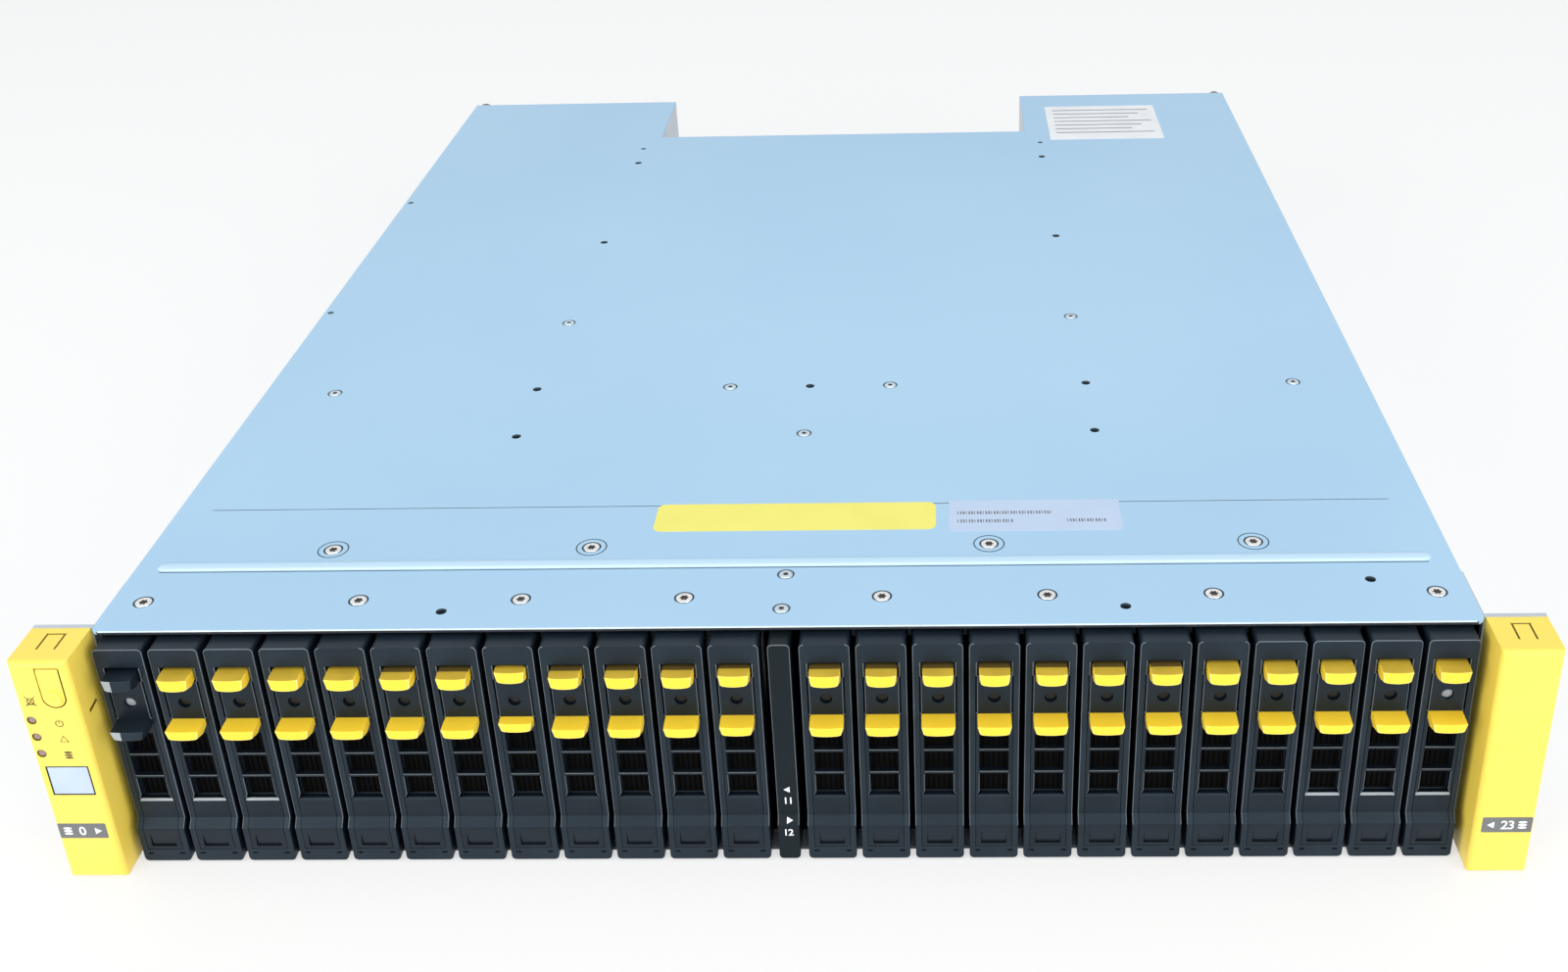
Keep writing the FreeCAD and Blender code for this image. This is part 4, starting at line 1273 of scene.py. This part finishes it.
def makeCage():
    strip = placePiece(makeStrip(), "chassis")
    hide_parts("drive_cage")
    guides = []
    for solid in splitLoose(copyNode("drive_cage", "cageStart")):
        if cornersOf(solid)[1].x > 10:
            guides.append(softenEdges(solid, 0.2, 2, 30))
        else:
            bpy.data.objects.remove(solid)
    placePiece(joinPieces(guides, "driveGuides"), "chassis", blackPlastic)


def markStrip():
    card = cageCard
    marks = []
    x, lean = card["markAcross"], card["slopeLean"]
    for text, z, way in card["marks"]:
        front = card["face"] if z > bayCard["stepTop"] else card["foot"]
        if text == "arrow":
            onSlope = bayCard["stepFoot"] < z < bayCard["stepTop"]
            front = (card["face"] + card["foot"]) / 2 if onSlope else front
            arrow = makeArrow((x, z), 1.35, front, way)
            marks.append(turnPiece(arrow, (x, front, z), "X", lean) if onSlope else arrow)
        else:
            marks.append(makeNumber(text, (x, z), card["markHeight"], front))
    placePiece(joinPieces(marks, "stripMarks"), "chassis", markWhite)


makeCage()
markStrip()
print("cage made")


# Chassis: folded tray, ears, partitions and channels

trayCard = {
    "sheet": 1.2, "lip": 14.0, "bend": 1.0, "edge": 0.18, "panSide": 218.7, "panLead": 8.5,
    "notchHalf": 102.1, "notchFront": 474.7, "board": 148.4, "channel": 207.5, "shelf": (43.45, 44.45),
    "ear": (241.3, 2.0, 26.0), "rackHoles": (232.55, (5.85, 82.05), 3.5),  # reach, thickness, leg; then its holes
    "wallHoles": (62.0, 178.0, 294.0, 410.0, 506.0), "wallHoleRadius": 2.2,
    "wallSlots": ((110.0, 24.0), (340.0, 24.0)), "slotTall": 2.6, "slotHeight": 30.0, "holeHeight": 62.0,
    "panHoles": ((-150, 60), (0, 60), (150, 60), (-150, 250), (150, 250), (-150, 440), (150, 440)),
    "panHoleRadius": 2.5, "legRivets": ((9.0, 20.0), (9.0, 44.0), (9.0, 68.0), (19.0, 32.0), (19.0, 56.0)),
    "endPlate": (208.9, 220.1, 537.6, 538.9), "knobRadius": 3.9, "knobLength": 6.6, "knobPlace": (217.6, 83.3),
}


def makeFoldedBody():
    # pan, walls and lips folded from one sheet, open in front and behind
    card = trayCard
    wall, top, rear, sheet = coverHigh.x, coverLow.z, coverHigh.y, card["sheet"]
    inner, lip, notch = wall - sheet, wall - card["lip"], card["notchHalf"]
    body = addBlock("foldedBody", (-wall, 0, 0), (wall, rear, top))
    roundEdges(body, card["bend"], 4, along("y"))
    carve(body, "inside", (-inner, -1, sheet), (inner, rear + 1, top - sheet))
    carve(body, "mouth", (-lip, -1, top - 2 * sheet), (lip, rear + 1, top + 1))
    carve(body, "recess", (-notch, card["notchFront"], -1), (notch, rear + 1, 2 * sheet))
    addOn(body, addBlock("panFront", (-card["panSide"], -card["panLead"], 0), (card["panSide"], 0.5, sheet)))
    for y in card["wallHoles"]:
        for side in (-1, 1):
            bore(body, (side * wall, y, card["holeHeight"]), card["wallHoleRadius"], 6, axis="X")
    for y, long in card["wallSlots"]:
        z, tall = card["slotHeight"], card["slotTall"] / 2
        for side in (-1, 1):
            slot = addBlock("wallSlot", (side * wall - 3, y, z - tall), (side * wall + 3, y + long, z + tall))
            roundEdges(slot, tall * 0.95, 4, along("x"))
            cutAway(body, [slot])
    for x, y in card["panHoles"]:
        bore(body, (x, y, 0), card["panHoleRadius"], 6)
    return softenEdges(body, card["edge"], 2, 30)


def makeTray():
    card = trayCard
    wall, top, rear, sheet = coverHigh.x, coverLow.z, coverHigh.y, card["sheet"]
    reach, thick, legReach = card["ear"]
    across, heights, radius = card["rackHoles"]
    notch, board, channel = card["notchHalf"], card["board"], card["channel"]
    low, high = card["shelf"]
    parts = [makeFoldedBody(), addBlock("shelf", (-notch, board, low), (notch, card["notchFront"], high))]
    for side in (-1, 1):
        plate = addBlock("ear", (side * wall, -thick, 0), (side * reach, 0, capHigh.z))
        for z in heights:
            bore(plate, (side * across, 0, z), radius, 8, axis="Y", sides=40)
        leg = addBlock("leg", (side * wall, 0, sheet), (side * (wall + sheet), legReach, top))
        partition = addBlock("partition", (side * notch, board, sheet), (side * (notch + sheet), rear, top))
        web = addBlock("channel", (side * channel, board, sheet), (side * (wall - sheet), rear, top - sheet))
        carve(web, "hollow", (side * (channel + sheet), board - 1, 2 * sheet),
              (side * wall, rear + 1, top - 2 * sheet))
        parts += [plate, leg, partition, web]
    for part in parts[1:]:
        softenEdges(part, card["edge"], 2, 30)
    for part in parts:
        coat(part, zincSteel, seatShade)
        # painted shade on the tray's front-facing edges, in the dark gap beside the caps
        tintFaces(part, 1, lambda at, way: way.y < -0.5 and abs(at.x) < wall + 0.1 and at.y < 0.5)
    placePiece(joinPieces(parts, "chassisTray"), "chassis")
    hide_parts("chassis_tray")


def makeRearKnobs():
    card = trayCard
    left, right, near, far = card["endPlate"]
    x, z = card["knobPlace"]
    plates, knobs = [], []
    for side in (-1, 1):
        plate = addBlock("endPlate", (side * left, near, 2.6), (side * right, far, 85.2))
        plates.append(softenEdges(plate, 0.3, 2, 40))
        knob = addRod("knob", (side * x, far + card["knobLength"] / 2 - 0.2, z), card["knobRadius"], card["knobLength"],
                      axis="Y", sides=40)
        roundEdges(knob, 1.1, 3, lambda at, way: at.y > far + card["knobLength"] - 0.5)
        carve(knob, "drive", (side * x - 2.6, far + card["knobLength"] - 1.1, z - 0.45),
              (side * x + 2.6, far + card["knobLength"] + 1, z + 0.45))
        knobs.append(softenEdges(knob, 0.1, 1, 50))
    placePiece(joinPieces(plates, "channelEnds"), "chassis", zincSteel)
    placePiece(joinPieces(knobs, "rearKnobs"), "chassis", darkSteel)


def makeLegRivets():
    # rivets that hold each ear's leg to the wall
    legSide = coverHigh.x + trayCard["sheet"]
    rivets = []
    for side in (-1, 1):
        for y, z in trayCard["legRivets"]:
            rivet = addRod("rivet", (side * (legSide + 0.3), y, z), 2.2, 0.8, axis="X", sides=28)
            rivets.append(softenEdges(rivet, 0.3, 3, 40))
    placePiece(joinPieces(rivets, "earRivets"), "chassis", rivetSteel)


makeTray()
makeRearKnobs()
makeLegRivets()
print("chassis made")


# Midplane board with its sockets

boardCard = {"slotWidth": 1.4, "slotTall": 27.0, "slotDepth": 5.0, "chip": (9.0, 1.2, 9.0), "chipHeight": 12.0}


def makeMidplane():
    card = boardCard
    board, sockets = None, []
    for solid in splitLoose(copyNode("midplane_board", "boardStart")):
        low, high = cornersOf(solid)
        if high.x - low.x > 100:
            board = solid
            continue
        x, z = (low.x + high.x) / 2, (low.z + high.z) / 2
        carve(solid, "slot", (x - card["slotWidth"] / 2, low.y - 1, z - card["slotTall"] / 2),
              (x + card["slotWidth"] / 2, low.y + card["slotDepth"], z + card["slotTall"] / 2))
        sockets.append(softenEdges(solid, 0.3, 1, 40))
    softenEdges(board, 0.2, 1, 40)
    board.name = "midplaneBoard"
    placePiece(board, "chassis", boardGreen)
    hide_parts("midplane_board")
    placePiece(joinPieces(sockets, "midplaneSockets"), "chassis", blackPlastic)
    low, high = cornersOf(board)
    wide, proud, tall = card["chip"]
    chips, z = [], card["chipHeight"]
    for slot in range(0, slotCount, 2):
        x = (slotX[slot] + slotX[slot + 1]) / 2
        chip = addBlock("chip", (x - wide / 2, low.y - proud, z), (x + wide / 2, low.y + 0.1, z + tall))
        chips.append(softenEdges(chip, 0.2, 1, 40))
    placePiece(joinPieces(chips, "midplaneChips"), "chassis", blackPlastic)


makeMidplane()
print("midplane made")


# Power and cooling modules

fanCard = {"bore": 18.6, "hub": 8.2, "blades": 7, "thick": 1.1, "deep": 12.0, "lean": 38, "play": 0.7}


def makeFan(name, low, high, body):
    card = fanCard
    x, z = (low.x + high.x) / 2, (low.z + high.z) / 2
    y = (low.y + high.y) / 2
    shroud = addBlock("fanShroud_" + name, low, high)
    bore(shroud, (x, y, z), card["bore"], high.y - low.y + 2, axis="Y", sides=64)
    softenEdges(shroud, 0.5, 2, 40)
    placePiece(shroud, body, blackPlastic)
    hub = addRod("hub", (x, y + 1, z), card["hub"], high.y - low.y - 6, axis="Y", sides=48)
    roundEdges(hub, 1.2, 3, lambda at, way: at.y > y + 5)
    parts = [softenEdges(hub, 0.1, 1, 50)]
    reach = card["bore"] - card["play"]
    for blade in range(card["blades"]):
        vane = addBlock("vane", (x + card["hub"] - 0.6, y - card["deep"] / 2, z - card["thick"] / 2),
                        (x + reach, y + card["deep"] / 2, z + card["thick"] / 2))
        nudge(vane, lambda at: at.x > x + reach - 0.1 and at.y > y, (0, -1.5, 0))
        turnPiece(vane, (x, y, z), "X", card["lean"])
        turnPiece(vane, (x, y, z), "Y", 360 / card["blades"] * blade)
        parts.append(softenEdges(vane, 0.3, 2, 40))
    placePiece(joinPieces(parts, "fanRotor_" + name), body, fanGrey)


inletCard = {"pin": (1.0, 2.2, 9.0), "pins": ((-7.0, -1.4), (0.0, 2.6), (7.0, -1.4))}
switchCard = {"rim": 1.4, "gap": 0.3}
lensCard = {"radius": 1.3, "drop": 12, "places": ((0.0, greenLens), (6.0, greenLens), (12.0, amberLens))}


def makeInlet(side, solid, body):
    low, high = cornersOf(flatten(solid))
    x, z = (low.x + high.x) / 2, (low.z + high.z) / 2
    roundEdges(solid, 2.5, 3, lambda at, way: abs(way.y) > 0.99 and at.z > z and abs(at.x - x) > 12)
    softenEdges(solid, 0.35, 2, 30)
    solid.name = "mainsInlet_" + side
    placePiece(solid, body, blackPlastic)
    half, tall, long = inletCard["pin"]
    pins = []
    for across, up in inletCard["pins"]:
        pin = addBlock("pin", (x + across - half, low.y + 1.5, z + up - tall),
                       (x + across + half, low.y + 1.5 + long, z + up + tall))
        pins.append(softenEdges(pin, 0.4, 2, 40))
    placePiece(joinPieces(pins, "inletPins_" + side), body, screwSteel)


def makeSwitch(side, solid, body):
    # a rim round a rocker that is pressed at its on side
    low, high = cornersOf(flatten(solid))
    card = switchCard
    rim = card["rim"]
    carve(solid, "well", (low.x + rim, low.y + 0.6, low.z + rim), (high.x - rim, high.y + 1, high.z - rim))
    softenEdges(solid, 0.3, 2, 40)
    solid.name = "switchRim_" + side
    placePiece(solid, body, blackPlastic)
    gap = rim + card["gap"]
    rocker = addBlock("rocker_" + side, (low.x + gap, low.y + 0.5, low.z + gap),
                      (high.x - gap, high.y - 0.1, high.z - gap))
    x = (low.x + high.x) / 2
    sliceAcross(rocker, (x, 0, 0), (1, 0, 0))
    nudge(rocker, lambda at: abs(at.x - x) < 0.1 and at.y > low.y + 1, (0, -1.1, 0))
    nudge(rocker, lambda at: at.x < x - 5 and at.y > low.y + 1, (0, -1.6, 0))
    softenEdges(rocker, 0.35, 2, 20)
    placePiece(rocker, body, leverBlack)


def makeLens(name, centre, radius, colour, body):
    lens = addRod(name, (centre[0], centre[1] + 0.1, centre[2]), radius, 1.0, axis="Y", sides=28)
    roundEdges(lens, radius * 0.35, 3, lambda at, way: at.y > centre[1] + 0.5)
    placePiece(softenEdges(lens, 0.05, 1, 60), body, colour)


caseCard = {"wall": 1.0, "edge": 0.18, "slots": 5, "margin": 2.0, "open": 0.6,
            "ventWidth": 4.0, "ventFirst": -76.0, "ventStep": 8.0, "vents": 8, "ventMargin": 9.0}


def makeCase(name, low, high):
    # a sheet case, open towards the midplane
    wall = caseCard["wall"]
    case = addBlock(name, low, high)
    roundEdges(case, 0.8, 3, along("y"))
    return carve(case, "inside", (low.x + wall, low.y - 1, low.z + wall),
                 (high.x - wall, high.y - wall, high.z - wall))


def cutOval(case, low, high):
    # an opening through the rear plate, with round ends
    cutter = addBlock("oval", low, high)
    round = min(high[0] - low[0], high[2] - low[2]) / 2 * 0.95
    roundEdges(cutter, round, 4, along("y"))
    cutAway(case, [cutter])


def cutGrille(case, low, high, rear):
    # level slots whose ends follow the fan's circle
    card = caseCard
    x, z, radius = (low.x + high.x) / 2, (low.z + high.z) / 2, (high.z - low.z) / 2 - card["margin"]
    pitch = 2 * radius / card["slots"]
    tall = pitch * card["open"] / 2
    for step in range(card["slots"]):
        rise = (step - (card["slots"] - 1) / 2) * pitch
        reach = math.sqrt(radius ** 2 - rise ** 2)
        cutOval(case, (x - reach, rear - 3, z + rise - tall), (x + reach, rear + 1, z + rise + tall))


def makePowerModule(side):
    body = node = "power_module_" + side
    parts = splitLoose(copyNode(node, "powerStart", plain=True))
    parts.sort(key=lambda solid: cornersOf(solid)[0].y - cornersOf(solid)[1].y)
    fans, case = 0, None
    for solid in parts:
        low, high = cornersOf(solid)
        size = high - low
        if size.y > 300:  # the sheet case
            case = makeCase("powerCase_" + side, low, high)
            rear = high.y
            bpy.data.objects.remove(solid)
        elif high.y < 200:  # the plug to the midplane
            softenEdges(flatten(solid), 0.8, 2, 30)
            solid.name = "powerPlug_" + side
            placePiece(solid, body, blackPlastic)
        elif abs(size.x - size.z) < 0.1 and size.x > 30:
            fans += 1
            cutGrille(case, low, high, rear)
            makeFan(side + str(fans), low, high, body)
            bpy.data.objects.remove(solid)
        elif high.y > 560:  # the bow handle
            softenEdges(flatten(solid), 1.4, 3, 30)
            solid.name = "powerHandle_" + side
            placePiece(solid, body, blackPlastic)
        elif low.y < 530:
            carve(case, "inlet", (low.x, rear - 3, low.z), (high.x, rear + 1, high.z))
            makeInlet(side, solid, body)
        else:
            makeSwitch(side, solid, body)
            sign = 1 if side == "right" else -1
            x0 = (low.x + high.x) / 2 - sign * 6
            for step, (across, colour) in enumerate(lensCard["places"]):
                makeLens("powerLens_%s%d" % (side, step), (x0 + sign * across, low.y, low.z - lensCard["drop"]),
                         lensCard["radius"], colour, body)
    softenEdges(case, caseCard["edge"], 2, 30)
    placePiece(case, body, zincSteel)
    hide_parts(node)


for side in ("left", "right"):
    makePowerModule(side)
print("power modules made")


# Input-output modules

ioCard = {"tongue": (13.5, 1.3, 12.0), "lensRise": 5.2, "lensStep": 4.0, "numberDrop": 4.2, "numberHeight": 2.6,
          "gripStep": 2.4, "grips": 3}


def makeIoModule(level):
    card = ioCard
    body = node = "io_module_" + level
    ports = []
    parts = splitLoose(copyNode(node, "ioStart", plain=True))
    parts.sort(key=lambda solid: cornersOf(solid)[0].y - cornersOf(solid)[1].y)
    for solid in parts:
        low, high = cornersOf(solid)
        size = high - low
        if size.z > 30:
            case = makeCase("ioCase_" + level, low, high)
            rear = high.y
            bpy.data.objects.remove(solid)
            wide, margin = caseCard["ventWidth"] / 2, caseCard["ventMargin"]
            for step in range(caseCard["vents"]):
                x = caseCard["ventFirst"] + step * caseCard["ventStep"]
                cutOval(case, (x - wide, rear - 3, low.z + margin), (x + wide, rear + 1, high.z - margin))
        elif size.x > 150:
            solid.name = "ioBoard_" + level
            placePiece(softenEdges(flatten(solid), 0.2, 1, 40), body, boardGreen)
        elif high.y < 200:
            solid.name = "ioPlug_" + level
            placePiece(softenEdges(flatten(solid), 0.8, 2, 40), body, blackPlastic)
        elif low.y > 470:  # an ejector lever
            side = "left" if high.x < 0 else "right"
            ends = [high.y - step * card["gripStep"] for step in range(card["grips"])]
            grips = [addBlock("grip", (low.x - 1, y - 4, high.z - 0.5), (high.x + 1, y - 2.8, high.z + 1))
                     for y in ends]
            roundEdges(flatten(solid), 3.0, 4, lambda at, turn: abs(turn.z) > 0.99 and at.y > high.y - 0.1)
            cutAway(solid, grips)
            solid.name = "ejector_%s_%s" % (level, side)
            placePiece(softenEdges(solid, 0.3, 2, 35), body, ejectorBlack)
        else:
            carve(case, "port", (low.x, rear - 3, low.z), (high.x, rear + 1, high.z))
            ports.append(softenEdges(flatten(solid), 0.2, 2, 40))
    ports.sort(key=lambda port: middle(port).x)
    tongues, numbers = [], []
    for step, port in enumerate(ports):
        low, high = cornersOf(port)
        x, z = (low.x + high.x) / 2, (low.z + high.z) / 2
        wide, thick, long = card["tongue"]
        tongue = addBlock("tongue", (x - wide / 2, low.y + 0.6, z - thick / 2),
                          (x + wide / 2, low.y + long, z + thick / 2))
        tongues.append(softenEdges(tongue, 0.3, 2, 40))
        for turn, place, lens in ((-1, "a", greenLens), (1, "b", amberLens)):
            centre = (x + turn * card["lensStep"], rear - 0.5, high.z + card["lensRise"])
            makeLens("portLens_%s%d%s" % (level, step, place), centre, 1.0, lens, body)
        number = makeNumber(str(len(ports) - step), (0, 0), card["numberHeight"], 0)
        turnPiece(number, (0, 0, 0), "Z", 180)
        number.data.transform(Matrix.Translation(Vector((x, rear, low.z - card["numberDrop"])) * mm))
        numbers.append(number)
    softenEdges(case, caseCard["edge"], 2, 30)
    placePiece(case, body, zincSteel)
    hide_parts(node)
    placePiece(joinPieces(ports, "portCages_" + level), body, screwSteel)
    placePiece(joinPieces(tongues, "portTongues_" + level), body, blackPlastic)
    placePiece(joinPieces(numbers, "portNumbers_" + level), body, inkGrey)


for level in ("lower", "upper"):
    makeIoModule(level)
print("io modules made")


# Studio

studio = {
    "floorSize": 8.0, "floorGlow": 0.6, "skyStrength": 0.55, "aim": (0, 0.05, 0.05),
    # place, power and size of each soft lamp
    "frontLamp": ((0.0, -2.0, 0.9), 15, 3.6), "topLamp": ((0.0, -0.5, 2.6), 21, 2.4),
    "leftLamp": ((-1.6, -1.2, 0.6), 25, 2.0), "rightLamp": ((1.6, -1.2, 0.6), 25, 2.0),
}


def addLamp(name):
    place, power, size = studio[name]
    clearSelection()
    bpy.ops.object.light_add(type="AREA", location=place)
    lamp = bpy.context.object
    lamp.name = name
    lamp.data.energy = power
    lamp.data.shape = "DISK"
    lamp.data.size = size
    lamp.rotation_euler = (Vector(studio["aim"]) - Vector(place)).to_track_quat("-Z", "Y").to_euler()
    return lamp


def mixBackground(tree, lit, white, share, target):
    # the camera, glossy and glass rays see the white one, by its share; all other light sees the lit one
    path = addNode(tree, "LightPath", {})
    seen = path.outputs["Is Camera Ray"]
    for ray in ("Is Glossy Ray", "Is Transmission Ray"):
        seen = addNode(tree, "Math", {0: seen, 1: path.outputs[ray]}, "MAXIMUM").outputs[0]
    part = addNode(tree, "Math", {0: seen, 1: share}, "MULTIPLY").outputs[0]
    mix = addNode(tree, "MixShader", {"Fac": part, 1: lit.outputs[0], 2: white.outputs[0]})
    tree.links.new(mix.outputs[0], target)


def makeFloor():
    clearSelection()
    bpy.ops.mesh.primitive_plane_add(size=studio["floorSize"], location=(0, 0.25, -0.0002))
    floor = bpy.context.object
    floor.name = "floor"
    material = newMaterial("paleFloor", (0.92, 0.92, 0.92), 0.6)
    tree = material.node_tree
    glow = addNode(tree, "Emission", {"Strength": 1.0})
    mixBackground(tree, tree.nodes["Principled BSDF"], glow, studio["floorGlow"],
                  tree.nodes["Material Output"].inputs["Surface"])
    floor.data.materials.append(material)


def makeSky():
    world = bpy.data.worlds.new("paleSky")
    bpy.context.scene.world = world
    world.use_nodes = True
    tree = world.node_tree
    tree.nodes.clear()
    soft = addNode(tree, "Background", {"Color": (0.93, 0.97, 1.0, 1), "Strength": studio["skyStrength"]})
    white = addNode(tree, "Background", {"Color": (1, 1, 1, 1), "Strength": 1.0})
    mixBackground(tree, soft, white, 1.0, addNode(tree, "OutputWorld", {}).inputs["Surface"])


makeFloor()
makeSky()
for lamp in ("frontLamp", "topLamp", "leftLamp", "rightLamp"):
    addLamp(lamp)
print("studio ready")


# Camera

cameraCard = {"place": (50.38, -459.07, 404.35), "pitchDown": 0.4740, "yaw": -0.0346, "roll": -0.0277,
              "lens": 39.94, "shiftX": -0.0625, "shiftY": -0.0600}


def makeCamera():
    clearSelection()
    bpy.ops.object.camera_add()
    camera = bpy.context.object
    camera.name = "camera"
    turn = (Matrix.Rotation(-cameraCard["yaw"], 4, "Z")
            @ Matrix.Rotation(math.pi / 2 - cameraCard["pitchDown"], 4, "X")
            @ Matrix.Rotation(cameraCard["roll"], 4, "Z"))
    camera.matrix_world = Matrix.Translation(Vector(cameraCard["place"]) * mm) @ turn
    camera.data.lens = cameraCard["lens"]
    camera.data.sensor_width = 36
    camera.data.shift_x = cameraCard["shiftX"]
    camera.data.shift_y = cameraCard["shiftY"]
    camera.data.clip_start = 0.01
    bpy.context.scene.camera = camera


makeCamera()
bpy.context.scene.view_settings.view_transform = "Standard"
print("camera ready")
